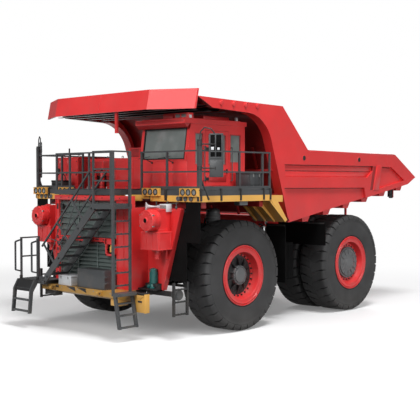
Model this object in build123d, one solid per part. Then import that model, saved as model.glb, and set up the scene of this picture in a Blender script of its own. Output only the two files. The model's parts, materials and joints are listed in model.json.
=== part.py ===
from build123d import *
import os
from math import atan2, cos, degrees, hypot, radians, sin

# A rigid-frame mining dump truck with electric wheel motors, all sizes in millimetres.
# It is drawn with +X forward, +Y to its left, +Z up and the origin on the ground under the middle of
# the front axle, and every piece is moved by TO_MIDDLE on export, so that the stored origin is on
# the ground below the middle of the whole machine.

# ---- driving dimensions ----------------------------------------------------------------------
WHEELBASE = 5250
FRONT_OVERHANG = 3860  # front axle to the front of the boarding steps
TAIL_OVERHANG = 3560  # rear axle to the tip of the bed's tail
TO_MIDDLE = Pos((WHEELBASE + TAIL_OVERHANG - FRONT_OVERHANG) / 2, 0, 0)
CLEAR = 8  # air between a moving piece and what it passes
FIT = 0.5  # radial play of a pin in its bore

# wheels
TYRE_R = 1515
TYRE_WIDTH = 950
TREAD_FLATS = 32  # one flat of the crown for each pair of tread lugs
SHOULDER = 105  # bevel between crown and sidewall
BEAD_R = 770
RIM_FLANGE_R = 830
RIM_DISH_R = 700
RIM_FLANGE = 40  # thickness of the flange
RIM_SEAT = 55  # depth of the step in the sidewall that the flange sits in
HUB_Z = TYRE_R
FRONT_WHEEL_Y = 2555  # middle of the front tyre
REAR_OUTER_Y = 2455  # middle of the outer rear tyre
DUAL_GAP = 120  # air between the two rear tyres of one side
REAR_INNER_Y = REAR_OUTER_Y - TYRE_WIDTH - DUAL_GAP
REAR_AXLE_X = -WHEELBASE
KINGPIN_Y = 1850
STEER_ARM_X = -500  # ball joint of the tie rod behind the front axle
STEER_ARM_Z = 1080
TIE_ROD_Z = 960

# frame
RAIL_Y = 640  # middle of each frame rail
RAIL_WIDTH = 320
RAIL_BOTTOM = 1150
RAIL_TOP_FRONT = 2000
RAIL_TOP_REAR = 2550
RAIL_FRONT_X = 2680
RAIL_TAIL_BOTTOM = 2130  # underside where the rails pass over the rear axle
RAIL_IN = RAIL_Y - RAIL_WIDTH / 2
RAIL_OUT = RAIL_Y + RAIL_WIDTH / 2
CROSS_X = -3700  # cross member ahead of the rear axle
TAIL_CROSS_DX = 250  # last cross member ahead of the bed's pivot

# decks
DECK_HALF = 3450
DECK_TOP = 3850
DECK_PLATE = 130
DECK_EDGE = 160  # height of the yellow edge under the deck plate
DECK_FRONT_X = 2200
DECK_REAR_X = -640
DECK_UNDER = DECK_TOP - DECK_PLATE
EDGE_UNDER = DECK_UNDER - DECK_EDGE
CENTRE_FRONT_X = 2900
CENTRE_LEFT_Y = 850
CENTRE_RIGHT_Y = -1600
RAIL_HEIGHTS = (1010, 480)  # handrail and knee rail above a deck
POST = 50  # square tube of posts
RAIL = 40  # square tube of rails
RAIL_INSET = 50  # handrail inside the deck's edge
MIRROR_POST_TOP = 5100
LAMP_BOX = 620  # length of a box of three lamps
LAMP_PITCH = 200
LEFT_LAMPS = (1420, 2830)  # inner end of each lamp box
RIGHT_LAMPS = (1620, 2830)

# bed
BED_HALF = 3100
BED_SKIN = 80  # outer skin that frames the sunk panels of a bed side
BED_PLATE = 60  # plate behind the skin
BED_INSIDE = BED_HALF - BED_SKIN - BED_PLATE
FRONT_WALL_BEHIND = 250  # front wall set back from the arch's edge
FLOOR_FRONT = (-1980, 2915)  # underside of the floor at its front and at its tail
FLOOR_TAIL = (-8320, 3985)
BED_GAP = 25  # bed beams above the frame rails
ARCH_FOOT = (-1790, 3060)
ARCH_KNEE = (-1060, 5210)
ARCH_TOP = (-120, 5940)
BOLSTER_PITCH = 1030
BOLSTER_COUNT = 6
CANOPY_FRONT_X = 2500
CANOPY_CORNER_X = 1910
CANOPY_CORNER_Y = 1940
FASCIA_BOTTOM = 5940
FASCIA_TOP = 6460
FASCIA_LEAN = 110  # the fascia's foot stands this far ahead of its top

# bed pivot and hoists
PIVOT_X = REAR_AXLE_X - 1050
PIVOT_Z = 2400
PIVOT_R = 60
HORN_R = 130  # end of the frame rail round the bed's pivot
EAR = 35  # thickness of each of the bed's four pivot ears
EAR_PLAY = 5  # air between an ear and its rail
HOIST_Y = 1110
HOIST_FOOT = (-3250, 1050)
HOIST_EYE = (-3050, 2800)
HOIST_PIN_R = 55
HOIST_BARREL_R = 165
HOIST_STAGE_R = 130
HOIST_ROD_R = 90
HOIST_EYE_HALF = 85  # half the width of the rod's eye
CLEVIS_PLAY = 15

# cab
CAB_FRONT_X = 1800
CAB_REAR_X = -470
CAB_LEFT_Y = 2620
CAB_RIGHT_Y = 780
CAB_HEIGHT = 1870
CAB_TOP = DECK_TOP + CAB_HEIGHT
CAB_ROOF = 120
CAB_WALL = 70
SILL_Z = DECK_TOP + 810  # foot of the windscreen, where the front wall starts to lean back
CAB_RAKE = 130  # lean of the windscreen over its height
GLASS = 12
GLASS_INSET = 30
SCREEN = (SILL_Z + 20, CAB_TOP - 240)  # foot and head of the windscreen
DOOR = (208, 1112)  # rear and front edge of the door
DOOR_TOP = CAB_TOP - 288
WINDOW_HEAD = CAB_TOP - 370
SIDE_WINDOWS = (  # rear, front, foot, head
    (-280, 130, SILL_Z - 60, WINDOW_HEAD),
    (1215, 1500, SILL_Z - 120, WINDOW_HEAD),
)
DOOR_WINDOW = (320, 1000, SILL_Z - 120, WINDOW_HEAD - 20)
RIGHT_WINDOW = (-200, 1450, SILL_Z - 60, WINDOW_HEAD)
WIDE_MARGIN = 130  # windscreen edge from the cab's side
REAR_MARGIN = 300


# deck furniture and tanks: rear, front, right side, left side, foot and head of each box
CABINETS = (
    (-560, 1500, -3330, -2310, DECK_TOP, 4790),
    (-560, 1080, -2310, 500, DECK_TOP, 4760),
    (-560, 900, -700, 250, 4760, 5060),
)
BOXES = (
    (-460, 60, 2760, 3260, DECK_TOP, 4320),
    (1700, 2000, -2950, -2400, DECK_TOP, 4100),
    (2900, 3300, -50, 1070, 1240, 1750),
    (2900, 3300, -890, -340, 1240, 1510),
)
TANK_REAR_X = -3000
TANK_IN_Y = 1360
TANK_OUT_Y = 2350

# front end
RADIATOR_X = 2700
RADIATOR_HALF = 1600
RADIATOR_POST = 170  # right post of the frame
LADDER_POST = 560  # wide left post, behind the ladder
RADIATOR_FOOT = 1240
RADIATOR_HEAD = 3700
GRILLE_BANDS = ((1240, 2450, 110), (2560, 3560, 165))  # foot, head and pitch of each bank
SLAT_GAP = 14  # slot left between two louvres
SHEET = 20
FENDER_X = 2240  # middle of the sheet behind each air cleaner
FLAP_X = 2150  # rear face of the rubber sheet ahead of each front wheel
STEPS_TOP = 1500  # head of the ladder beside each front wheel
LANDING_TOP = 1330
LANDING_FRONT_X = 3560
LANDING_REAR_X = 2900
LANDING_OUT_Y = -2350
LANDING_IN_Y = -1210
STAIR_FOOT = (-1150, 1400)  # Y and Z of the lowest and of the highest tread
STAIR_HEAD = (930, 3450)
STAIR_OUT_X = 3560
STAIR_IN_X = 2960
STRINGER = 40
TREADS = 8
STAIR_RAIL_UP = 1050
PLATFORM_LEFT_Y = 1700
LADDER_PITCH = 330
TOW_EYE_R = 35
TOW_EYE_Y = 1000
TOW_EYE_X = 3440
TOW_EYE_Z = 1160
TOW_EYE_WIDTH = 80
REAR_TOW_X = -5880
REAR_TOW_R = 40


# ---- drawing helpers -------------------------------------------------------------------------
def outline(start, *steps):
    """Flat face from a start point; a step is (x, y) for a line or (mid x, mid y, x, y) for an arc."""
    edges = []
    here = start
    for step in steps + (start,):
        there = step[-2:]
        if hypot(there[0] - here[0], there[1] - here[1]) < 0.01:
            continue
        if len(step) == 4:
            edges.append(Edge.make_three_point_arc((*here, 0), (*step[:2], 0), (*there, 0)))
        else:
            edges.append(Edge.make_line((*here, 0), (*there, 0)))
        here = there
    return Face(Wire(edges))


def slab_y(y0, y1, start, *steps):
    """Outline in X and Z, from Y = y0 to y1."""
    plane = Plane(origin=(0, max(y0, y1), 0), x_dir=(1, 0, 0), z_dir=(0, -1, 0))
    return plane * extrude(outline(start, *steps), amount=abs(y1 - y0), dir=(0, 0, 1))


def slab_x(x0, x1, start, *steps):
    """Outline in Y and Z, from X = x0 to x1."""
    plane = Plane(origin=(min(x0, x1), 0, 0), x_dir=(0, 1, 0), z_dir=(1, 0, 0))
    return plane * extrude(outline(start, *steps), amount=abs(x1 - x0), dir=(0, 0, 1))


def slab_z(z0, z1, start, *steps):
    """Outline in X and Y, from Z = z0 to z1."""
    return Pos(0, 0, min(z0, z1)) * extrude(outline(start, *steps), amount=abs(z1 - z0), dir=(0, 0, 1))


def block(x0, x1, y0, y1, z0, z1):
    """Box between two corners."""
    size = Box(abs(x1 - x0), abs(y1 - y0), abs(z1 - z0))
    return Pos((x0 + x1) / 2, (y0 + y1) / 2, (z0 + z1) / 2) * size


def tube(start, end, radius):
    """Round bar between two points."""
    span = Vector(*end) - Vector(*start)
    foot = (Align.CENTER, Align.CENTER, Align.MIN)
    return Plane(origin=start, z_dir=span) * Cylinder(radius, span.length, align=foot)


def bar(start, end, width, depth=None):
    """Square or flat bar between two points, its width kept level."""
    span = Vector(*end) - Vector(*start)
    upright = abs(span.X) < 1 and abs(span.Y) < 1
    level = (1, 0, 0) if upright else (-span.Y, span.X, 0)
    foot = (Align.CENTER, Align.CENTER, Align.MIN)
    return Plane(origin=start, x_dir=level, z_dir=span) * Box(width, depth or width, span.length, align=foot)


def across(x, z, radius, y0, y1):
    """Round bar across the truck, for bores and pins."""
    return tube((x, min(y0, y1), z), (x, max(y0, y1), z), radius)


def spun(start, *steps):
    """Outline of radius and Y, turned about the wheels' axis."""
    return revolve(outline(start, *steps), Axis.Y, 360)


def fused(shapes):
    shapes = list(shapes)
    return shapes[0] + shapes[1:] if len(shapes) > 1 else shapes[0]


def flipped(shape):
    return mirror(shape, about=Plane.XZ)


def both_sides(shape):
    return [shape, flipped(shape)]


# ---- wheels ----------------------------------------------------------------------------------
def tyre(middle_y):
    crown = RegularPolygon(TYRE_R, TREAD_FLATS, major_radius=False, rotation=180 / TREAD_FLATS)
    across_truck = Plane(origin=(0, middle_y + TYRE_WIDTH / 2, 0), x_dir=(1, 0, 0), z_dir=(0, -1, 0))
    body = across_truck * extrude(crown, amount=TYRE_WIDTH)
    sidewalls = body.faces().filter_by(Axis.Y)
    body = chamfer(sidewalls.edges(), SHOULDER)
    outer = middle_y + TYRE_WIDTH / 2
    body -= across(0, 0, RIM_FLANGE_R + 2, outer - RIM_SEAT, outer)
    return body - across(0, 0, BEAD_R, middle_y - TYRE_WIDTH, middle_y + TYRE_WIDTH)


def rim(inner_y, outer_y, disc_y, hub_r, hub_face_y):
    """Drum that fills the tyre's bead, a flange outside it and a dish down to the hub."""
    return spun(
        (0, inner_y),
        (BEAD_R - 2, inner_y),
        (BEAD_R - 2, outer_y - RIM_FLANGE),
        (RIM_FLANGE_R, outer_y - RIM_FLANGE),
        (RIM_FLANGE_R, outer_y),
        (RIM_DISH_R, outer_y),
        (RIM_DISH_R, disc_y),
        (hub_r, disc_y),
        (hub_r, hub_face_y),
        (0, hub_face_y),
    )


def front_rim():
    """Deep dish with gussets round the hub."""
    outer = FRONT_WHEEL_Y + TYRE_WIDTH / 2 - 10
    inner = FRONT_WHEEL_Y - TYRE_WIDTH / 2 + 75
    disc = FRONT_WHEEL_Y + 200
    hub_r, gusset_r, gusset_y = 300, 620, 130
    wheel = rim(inner, outer, disc, hub_r, disc + 150)
    gusset = slab_z(-20, 20, (hub_r - 20, disc - 10), (gusset_r, disc - 10), (hub_r - 20, disc + gusset_y))
    gussets = 10
    for i in range(gussets):
        wheel += Rot(0, 360 / gussets * i, 0) * gusset
    return Pos(0, 0, HUB_Z) * wheel


def rear_rim():
    """One drum under both tyres, with the wheel motor's cover set back in it."""
    outer = REAR_OUTER_Y + TYRE_WIDTH / 2 + 15
    inner = REAR_INNER_Y - TYRE_WIDTH / 2 + 75
    disc = REAR_OUTER_Y + 170
    return Pos(REAR_AXLE_X, 0, HUB_Z) * rim(inner, outer, disc, 480, disc + 130)


# ---- chassis ---------------------------------------------------------------------------------
def rail_outline():
    """One frame rail in X and Z: low in front, stepped up behind the engine, ending at the bed's pivot."""
    tail_x = PIVOT_X + TAIL_CROSS_DX
    return (
        (RAIL_FRONT_X, RAIL_BOTTOM),
        (RAIL_FRONT_X, RAIL_TOP_FRONT),
        (-1850, RAIL_TOP_FRONT),
        (-2250, RAIL_TOP_REAR),
        (tail_x, RAIL_TOP_REAR),
        (PIVOT_X, PIVOT_Z + HORN_R),
        (PIVOT_X - HORN_R, PIVOT_Z, PIVOT_X, PIVOT_Z - HORN_R),
        (tail_x, RAIL_TAIL_BOTTOM),
        (CROSS_X - 850, RAIL_TAIL_BOTTOM),
        (CROSS_X + 50, RAIL_BOTTOM),
    )


def main_frame():
    """Two rails joined by cross members, with the pins of the bed and of the hoists."""
    rail = slab_y(RAIL_IN, RAIL_OUT, *rail_outline())
    pin_end = EAR_PLAY + EAR + 10
    rail += across(PIVOT_X, PIVOT_Z, PIVOT_R, RAIL_IN - pin_end, RAIL_OUT + pin_end)
    foot_x, foot_z = HOIST_FOOT
    rail += slab_y(
        RAIL_IN, RAIL_OUT + 120,
        (foot_x + 200, RAIL_BOTTOM), (foot_x + 110, foot_z - 110),
        (foot_x - 110, foot_z - 110), (foot_x - 200, RAIL_BOTTOM),
    )
    rail += across(foot_x, foot_z, HOIST_PIN_R, RAIL_OUT, HOIST_Y + 190)
    pieces = both_sides(rail)
    members = (
        (2360, 280, 1250, 1700),
        (-180, 360, 1200, 1650),
        (-2700, 300, 1700, 2200),
        (CROSS_X, 260, 1750, 2250),
    )
    for x, length, z0, z1 in members:
        pieces.append(block(x, x + length, -RAIL_IN, RAIL_IN, z0, z1))
    pieces.append(across(PIVOT_X + TAIL_CROSS_DX, PIVOT_Z - 70, 130, -RAIL_IN, RAIL_IN))
    return fused(pieces)


def engine_block():
    return block(250, 2150, -420, 420, 1750, 2900)


def deck_supports():
    """Two portals on the frame rails that carry the decks and the cab."""
    portals = []
    for x, width in ((1700, 180), (-560, 150)):
        beam = block(x, x + width, -3200, 3200, 3390, EDGE_UNDER)
        posts = both_sides(block(x, x + width, RAIL_IN + 80, RAIL_OUT - 80, RAIL_TOP_FRONT, 3400))
        portals.append(beam + posts)
    return portals


def front_strut():
    """Suspension cylinder over the kingpin and the arm that holds it on the frame."""
    strut = tube((0, KINGPIN_Y, 2050), (0, KINGPIN_Y, 3250), 185)
    arm = slab_x(
        -230, 230,
        (RAIL_OUT, 1300), (RAIL_OUT, RAIL_TOP_FRONT), (1500, 2900), (1760, 2900), (1760, 2300), (1300, 1700),
    )
    return strut + arm


def rear_axle_housing():
    drum = across(REAR_AXLE_X, HUB_Z, 520, -830, 830)
    spindle = across(REAR_AXLE_X, HUB_Z, 250, -REAR_INNER_Y + 400, REAR_INNER_Y - 400)
    nose = slab_z(
        1300, 1700,
        (REAR_AXLE_X + 300, -420), (REAR_AXLE_X + 300, 420), (CROSS_X - 200, 150), (CROSS_X - 200, -150),
    )
    hitch = block(REAR_TOW_X - 100, REAR_AXLE_X - 400, -110, 110, 1450, 1530)
    hitch -= tube((REAR_TOW_X, 0, 1400), (REAR_TOW_X, 0, 1600), REAR_TOW_R)
    return drum + spindle + nose + hitch


def rear_strut():
    """Cylinder between the axle housing and the last cross member."""
    cross_x, cross_z = PIVOT_X + TAIL_CROSS_DX, PIVOT_Z - 70
    strut = tube((REAR_AXLE_X - 510, 300, HUB_Z + 135), (cross_x, 300, cross_z), 110)
    strut = strut - rear_axle_housing() - across(cross_x, cross_z, 130, 0, RAIL_IN)
    return max(strut.solids(), key=lambda piece: piece.volume)


def suspension_struts():
    return both_sides(front_strut()) + both_sides(rear_strut())


def knuckle():
    """Sliding lower tube of the strut, spindle and steering arm of the left front wheel."""
    slider = tube((0, KINGPIN_Y, RAIL_BOTTOM), (0, KINGPIN_Y, 2050 - CLEAR), 150)
    spindle = across(0, HUB_Z, 130, KINGPIN_Y, FRONT_WHEEL_Y - TYRE_WIDTH / 2 + 75)
    root, tip = 120, 70
    arm = slab_z(
        STEER_ARM_Z - 70, STEER_ARM_Z + 70,
        (root, KINGPIN_Y - root), (root, KINGPIN_Y + root),
        (STEER_ARM_X, KINGPIN_Y + tip), (STEER_ARM_X, KINGPIN_Y - tip),
    )
    return slider + spindle + arm


def tie_rod():
    return across(STEER_ARM_X, TIE_ROD_Z, 42, -KINGPIN_Y, KINGPIN_Y)


# ---- front end -------------------------------------------------------------------------------
def front_bumper():
    """Sloped beam between the rails with a towing eye near each end."""
    x0, x1 = RAIL_FRONT_X, 3350
    beam = slab_y(
        -RADIATOR_HALF, RADIATOR_HALF,
        (x0, 960), (x0 + 150, 940), (x1, 1080), (x1, RADIATOR_FOOT), (x0, RADIATOR_FOOT),
    )
    y0, y1 = TOW_EYE_Y - TOW_EYE_WIDTH / 2, TOW_EYE_Y + TOW_EYE_WIDTH / 2
    eye = slab_y(
        y0, y1,
        (x1, TOW_EYE_Z - 70), (x1, TOW_EYE_Z + 60), (TOW_EYE_X + 20, TOW_EYE_Z + 60),
        (TOW_EYE_X + 80, TOW_EYE_Z, TOW_EYE_X + 20, TOW_EYE_Z - 60),
    )
    eye -= across(TOW_EYE_X, TOW_EYE_Z, TOW_EYE_R, y0, y1)
    return beam + both_sides(eye)


def radiator_frame():
    """Upright frame round the louvres, with the side sheets behind it."""
    x0, x1 = RADIATOR_X, RADIATOR_X + 150
    right, left = -RADIATOR_HALF + RADIATOR_POST, RADIATOR_HALF - LADDER_POST
    pieces = both_sides(block(DECK_FRONT_X, x0, RADIATOR_HALF - 60, RADIATOR_HALF, RADIATOR_FOOT, 3400))
    pieces.append(block(x0, x1, -RADIATOR_HALF, right, RADIATOR_FOOT, RADIATOR_HEAD))
    pieces.append(block(x0, x1, left, RADIATOR_HALF, RADIATOR_FOOT, RADIATOR_HEAD))
    (_, low_head, _), (high_foot, high_head, _) = GRILLE_BANDS
    pieces.append(block(x0, x1, right, left, high_head, RADIATOR_HEAD))
    pieces.append(block(x0, x1, right, left, low_head, high_foot))
    return fused(pieces)


def radiator_grille():
    """Two banks of overlapping louvres, each on its back plate."""
    x0 = RADIATOR_X + 10
    right, left = -RADIATOR_HALF + RADIATOR_POST, RADIATOR_HALF - LADDER_POST
    banks = []
    for foot, head, pitch in GRILLE_BANDS:
        bank = block(x0, x0 + 30, right, left, foot, head)
        count = round((head - foot) / pitch)
        step = (head - foot) / count
        for i in range(count):
            z = foot + step * (i + 1)
            low = z - step + SLAT_GAP
            slat = ((x0 + 20, z), (x0 + 35, z), (x0 + 100, low), (x0 + 84, low), (x0 + 20, z - 30))
            bank += slab_y(right, left, *slat)
        banks.append(bank)
    return banks


def fender_panel():
    """Sheet behind the air cleaner, stiffened by a sloped post."""
    x, top, foot = FENDER_X, 3390, RADIATOR_FOOT
    inner, width = RADIATOR_HALF, 2 * (x - FLAP_X - SHEET)
    panel = slab_x(x - SHEET, x + SHEET, (inner, foot), (inner, top), (2860, top), (2160, foot))
    return panel + bar((x, 2830, top), (x, 2170, foot + 30), width)


def mud_flaps():
    """Rubber sheets before and behind the front wheels, and before the rear wheels, on their arms."""
    arm = 80
    front = block(FLAP_X, FLAP_X + SHEET, 1000, 2960, STEPS_TOP + 10, 3390)
    front += block(FLAP_X, FLAP_X + SHEET, 2930, 3440, 2520, EDGE_UNDER)
    rear = block(-1960, -1940, 2180, 2900, 1150, 2850)
    rear += block(-1960, -1940, RAIL_OUT, 2180, 1700, 1700 + arm)
    guard = block(-3600, -3580, 1300, 3120, 2150, 2860)
    guard += block(-3580, TANK_REAR_X, 1500, 1500 + arm, 2150, 2150 + arm)
    return both_sides(front) + both_sides(rear) + both_sides(guard)


def air_cleaner():
    """Drum with its intake, on a duct and a pre-cleaner box with a dust spout."""
    rear = FENDER_X + SHEET
    body = tube((2700, 2323, 3090), (2960, 2323, 3090), 270)
    cap = tube((2960, 2323, 3090), (3015, 2323, 3090), 70)
    duct = block(rear, 2720, 2060, 2480, 2800, 3380)
    lower = block(rear, 2790, 1920, 2570, 2330, 2800)
    spout = tube((2520, 2245, 2090), (2520, 2245, 2330), 60)
    return body + cap + duct + lower + spout - fender_panel()


# ---- decks -----------------------------------------------------------------------------------
def deck_plates():
    left = block(DECK_REAR_X, DECK_FRONT_X, CENTRE_LEFT_Y, DECK_HALF, DECK_UNDER, DECK_TOP)
    right = block(DECK_REAR_X, DECK_FRONT_X, CENTRE_RIGHT_Y, -DECK_HALF, DECK_UNDER, DECK_TOP)
    centre = block(DECK_REAR_X, CENTRE_FRONT_X, CENTRE_RIGHT_Y, CENTRE_LEFT_Y, DECK_UNDER, DECK_TOP)
    return left + right + centre


def lamp_housings(starts):
    """Boxes of three lamps each on the deck's front edge."""
    x0 = DECK_FRONT_X
    return [block(x0, x0 + 90, y, y + LAMP_BOX, DECK_TOP - 150, DECK_TOP + 60) for y in starts]


def deck_edging():
    """Yellow edge of each side deck with the sloped brace and shelf at its rear end."""
    out, rear = DECK_HALF, DECK_REAR_X
    pieces = [
        block(rear, DECK_FRONT_X, out - 60, out, EDGE_UNDER, DECK_UNDER),
        block(DECK_FRONT_X - 60, DECK_FRONT_X, 1640, out, EDGE_UNDER, DECK_UNDER),
        block(rear - 480, rear, out - 300, out, EDGE_UNDER - 40, DECK_UNDER - 20),
        slab_y(out - 60, out, (rear, 3540), (rear - 610, 2960), (rear - 690, 3010), (rear - 260, 3540)),
        slab_y(2300, out, (rear + 80, 3540), (rear - 600, 2950), (rear - 620, 2980), (rear + 20, 3540)),
    ]
    left = fused(pieces + lamp_housings(LEFT_LAMPS))
    right = flipped(fused(pieces + lamp_housings(RIGHT_LAMPS)))
    return [left, right]


def lamp_lenses():
    lens = Rot(0, 90, 0) * extrude(RegularPolygon(70, 12), amount=20)
    lenses = []
    for side, starts in ((1, LEFT_LAMPS), (-1, RIGHT_LAMPS)):
        for start in starts:
            for i in range(3):
                y = side * (start + LAMP_BOX / 2 + LAMP_PITCH * (i - 1))
                lenses.append(Pos(DECK_FRONT_X + 90, y, DECK_TOP - 45) * lens)
    return lenses


def rail_run(points, floor, heights=RAIL_HEIGHTS):
    """Posts on a floor at the points, with a rail along them at each height above it."""
    bars = [bar((x, y, floor), (x, y, floor + heights[0] + RAIL / 2), POST) for x, y in points]
    for up in heights:
        for (xa, ya), (xb, yb) in zip(points, points[1:]):
            bars.append(bar((xa, ya, floor + up), (xb, yb, floor + up), RAIL))
    return fused(bars)


def side_handrail():
    """Handrail round the left deck, with the thick post of its mirror."""
    x, y = DECK_FRONT_X - RAIL_INSET, DECK_HALF - RAIL_INSET
    points = ((x, 1250), (x, 2230), (x, y), (640, y), (-300, y), (-600, y))
    return rail_run(points, DECK_TOP) + bar((x, y, DECK_TOP), (x, y, MIRROR_POST_TOP), 95)


def handrails():
    x = CENTRE_FRONT_X - RAIL_INSET
    centre = rail_run(((x, CENTRE_RIGHT_Y + 50), (x, -950), (x, -100), (x, CENTRE_LEFT_Y - 50)), DECK_TOP)
    return both_sides(side_handrail()) + [centre]


def mirror_arm():
    """Tall mirror outboard of the deck on two arms from its post."""
    x, y = DECK_FRONT_X - RAIL_INSET, DECK_HALF - RAIL_INSET
    plate = Pos(1850, 3700, 4740) * Rot(0, 0, 32) * Box(70, 360, 1100)
    arms = [bar((x, y, z), (1860, 3690, z), 36) for z in (5020, 4420)]
    return fused([plate] + arms) - side_handrail()


# ---- stairs and ladders ----------------------------------------------------------------------
def stair_point(share, up=0):
    """Y and Z on the line of the treads, a share of the way up and a height above it."""
    y = STAIR_FOOT[0] + (STAIR_HEAD[0] - STAIR_FOOT[0]) * share
    z = STAIR_FOOT[1] + (STAIR_HEAD[1] - STAIR_FOOT[1]) * share
    return y, z + up


def stair_side(x):
    """Stringer with the handrail over it, its posts square to the slope."""
    deep = 110
    low, high = stair_point(0), stair_point(1)
    pieces = [slab_x(
        x, x + STRINGER,
        (low[0], low[1] - deep), (low[0] - 60, low[1] + 80),
        (high[0] - 60, high[1] + 60), (high[0] + 60, high[1] - deep),
    )]
    middle = x + STRINGER / 2
    rail_low, rail_high = stair_point(-0.08, STAIR_RAIL_UP), stair_point(0.93, STAIR_RAIL_UP)
    pieces.append(bar((middle, *rail_low), (middle, *rail_high), RAIL))
    for share in (0.2, 0.5, 0.8):
        foot, head = stair_point(share), stair_point(share - 0.245, STAIR_RAIL_UP)
        pieces.append(bar((middle, *foot), (middle, *head), RAIL))
    return fused(pieces)


def main_stair():
    """Stair across the front, from the landing up to a railed platform beside the deck."""
    pieces = [stair_side(STAIR_OUT_X - STRINGER), stair_side(STAIR_IN_X)]
    for i in range(TREADS):
        y, z = stair_point((i + 0.5) / TREADS)
        pieces.append(block(STAIR_IN_X + STRINGER, STAIR_OUT_X - STRINGER, y - 110, y + 110, z - 20, z + 20))
    x0, x1 = STAIR_IN_X - 60, STAIR_OUT_X + 40
    y0, y1 = STAIR_HEAD[0], PLATFORM_LEFT_Y
    top = STAIR_HEAD[1] + 50
    pieces.append(block(x0, x1, y0, y1, top - 120, top))
    corners = ((x1 - 30, y0 + 30), (x1 - 30, y1 - 30), (x0 + 60, y1 - 30))
    pieces.append(rail_run(corners, top, (1350, 900, 600)))
    return fused(pieces)


def step_ladder(width, steps):
    """Two flat stringers along a bent line with treads between, leaning out along +X from X = 0."""
    half = width / 2
    side = ((0, 0), (0, -110), (140, -320), (200, -910), (300, -910), (240, -250), (100, 0))
    pieces = both_sides(slab_y(half - 50, half, *side))
    for x, z in steps:
        pieces.append(block(x, x + 80, -half, half, z, z + 50))
    return fused(pieces)


def step_landing():
    """Low landing with the folding front ladder, grab loops and the posts behind them."""
    out, front, rear = LANDING_OUT_Y, LANDING_FRONT_X, LANDING_REAR_X
    inner = out + 830
    pieces = [block(rear, front, out, LANDING_IN_Y, LANDING_TOP - 90, LANDING_TOP)]
    ladder = step_ladder(inner - out, ((110, -270), (180, -570), (200, -880)))
    pieces.append(Pos(front, (out + inner) / 2, LANDING_TOP) * ladder)
    top, knee = LANDING_TOP + 1170, LANDING_TOP + 620
    for y in (out + 25, inner - 25):
        x = front - 30
        pieces.append(bar((x, y, LANDING_TOP), (x, y, top), POST))
        loop = ((x, 1100), (x + 200, 1050), (x + 200, 250), (x, 200))
        for (xa, za), (xb, zb) in zip(loop, loop[1:]):
            pieces.append(bar((xa, y, LANDING_TOP + za), (xb, y, LANDING_TOP + zb), RAIL))
    pieces.append(bar((rear + 30, out + 25, LANDING_TOP), (rear + 30, out + 25, top), POST))
    for z in (top - 20, knee):
        pieces.append(bar((front - 30, out + 25, z), (rear + 30, out + 25, z), RAIL))
    return fused(pieces)


def access_ladder():
    """Upright ladder from the ground to the stair's platform, with a flared foot."""
    y, foot = PLATFORM_LEFT_Y, 1250
    x0, x1 = STAIR_IN_X + 10, STAIR_OUT_X + 40
    pieces = [block(x0, x0 + 60, y, y + 60, foot, 4850), block(x1 - 60, x1, y, y + 60, foot, 4850)]
    rungs = int((STAIR_HEAD[1] - foot) // LADDER_PITCH) + 1
    for i in range(rungs):
        z = foot + 150 + LADDER_PITCH * i
        pieces.append(block(x0 + 60, x1 - 60, y + 15, y + 45, z, z + 40))
    pieces.append(block(x0, x1, y, y + 260, foot - 80, foot))
    for x in (x0, x1 - 60):
        foot_bar = ((y + 60, foot - 80), (y + 160, foot - 80), (y + 320, 350), (y + 220, 350))
        pieces.append(slab_x(x, x + 60, *foot_bar))
    for z in (360, 660, 960):
        shift = (foot - 80 - z) * 160 / (foot - 430)
        pieces.append(block(x0, x1, y + 60 + shift, y + 160 + shift, z, z + 40))
    return fused(pieces)


def side_steps():
    """Short ladder that hangs beside the front wheel, on a beam from the bumper."""
    x0, x1, y = 1980, 2520, 2790
    pieces = [block(2180, 2300, RADIATOR_HALF, y, 1110, 1230)]
    for x in (x0, x1 - 60):
        pieces.append(block(x, x + 60, y, y + 60, 640, STEPS_TOP))
    for z in (660, 980, 1300):
        pieces.append(block(x0 + 60, x1 - 60, y + 10, y + 50, z, z + 40))
    return fused(pieces)


# ---- bed -------------------------------------------------------------------------------------
def arch_points(behind):
    """Foot, knee, middle of the arc and top of the arch, moved back by a distance."""
    leg = Vector(ARCH_KNEE[0] - ARCH_FOOT[0], ARCH_KNEE[1] - ARCH_FOOT[1]).normalized()
    ahead = Vector(leg.Y, -leg.X)
    reach = Vector(ARCH_TOP[0] - ARCH_KNEE[0], ARCH_TOP[1] - ARCH_KNEE[1])
    radius = reach.length ** 2 / (2 * reach.dot(ahead))
    centre = Vector(*ARCH_KNEE) + ahead * radius
    start = degrees(atan2(-ahead.Y, -ahead.X))
    end = degrees(atan2(ARCH_TOP[1] - centre.Y, ARCH_TOP[0] - centre.X))
    on_arc = []
    for angle in (start, (start + end) / 2, end):
        out = radius + behind
        on_arc.append((centre.X + out * cos(radians(angle)), centre.Y + out * sin(radians(angle))))
    foot = Vector(*ARCH_FOOT) - ahead * behind
    return (foot.X, foot.Y), *on_arc


def arch_band(y0, y1, near, far):
    """Curved strip between two distances behind the arch's edge."""
    foot, knee, middle, top = arch_points(near)
    foot2, knee2, middle2, top2 = arch_points(far)
    return slab_y(y0, y1, foot, knee, (*middle, *top), top2, (*middle2, *knee2), foot2)


def floor_underside(x):
    """Height of the floor's underside at a place along the truck."""
    slope = (FLOOR_TAIL[1] - FLOOR_FRONT[1]) / (FLOOR_TAIL[0] - FLOOR_FRONT[0])
    return FLOOR_FRONT[1] + (x - FLOOR_FRONT[0]) * slope


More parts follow.
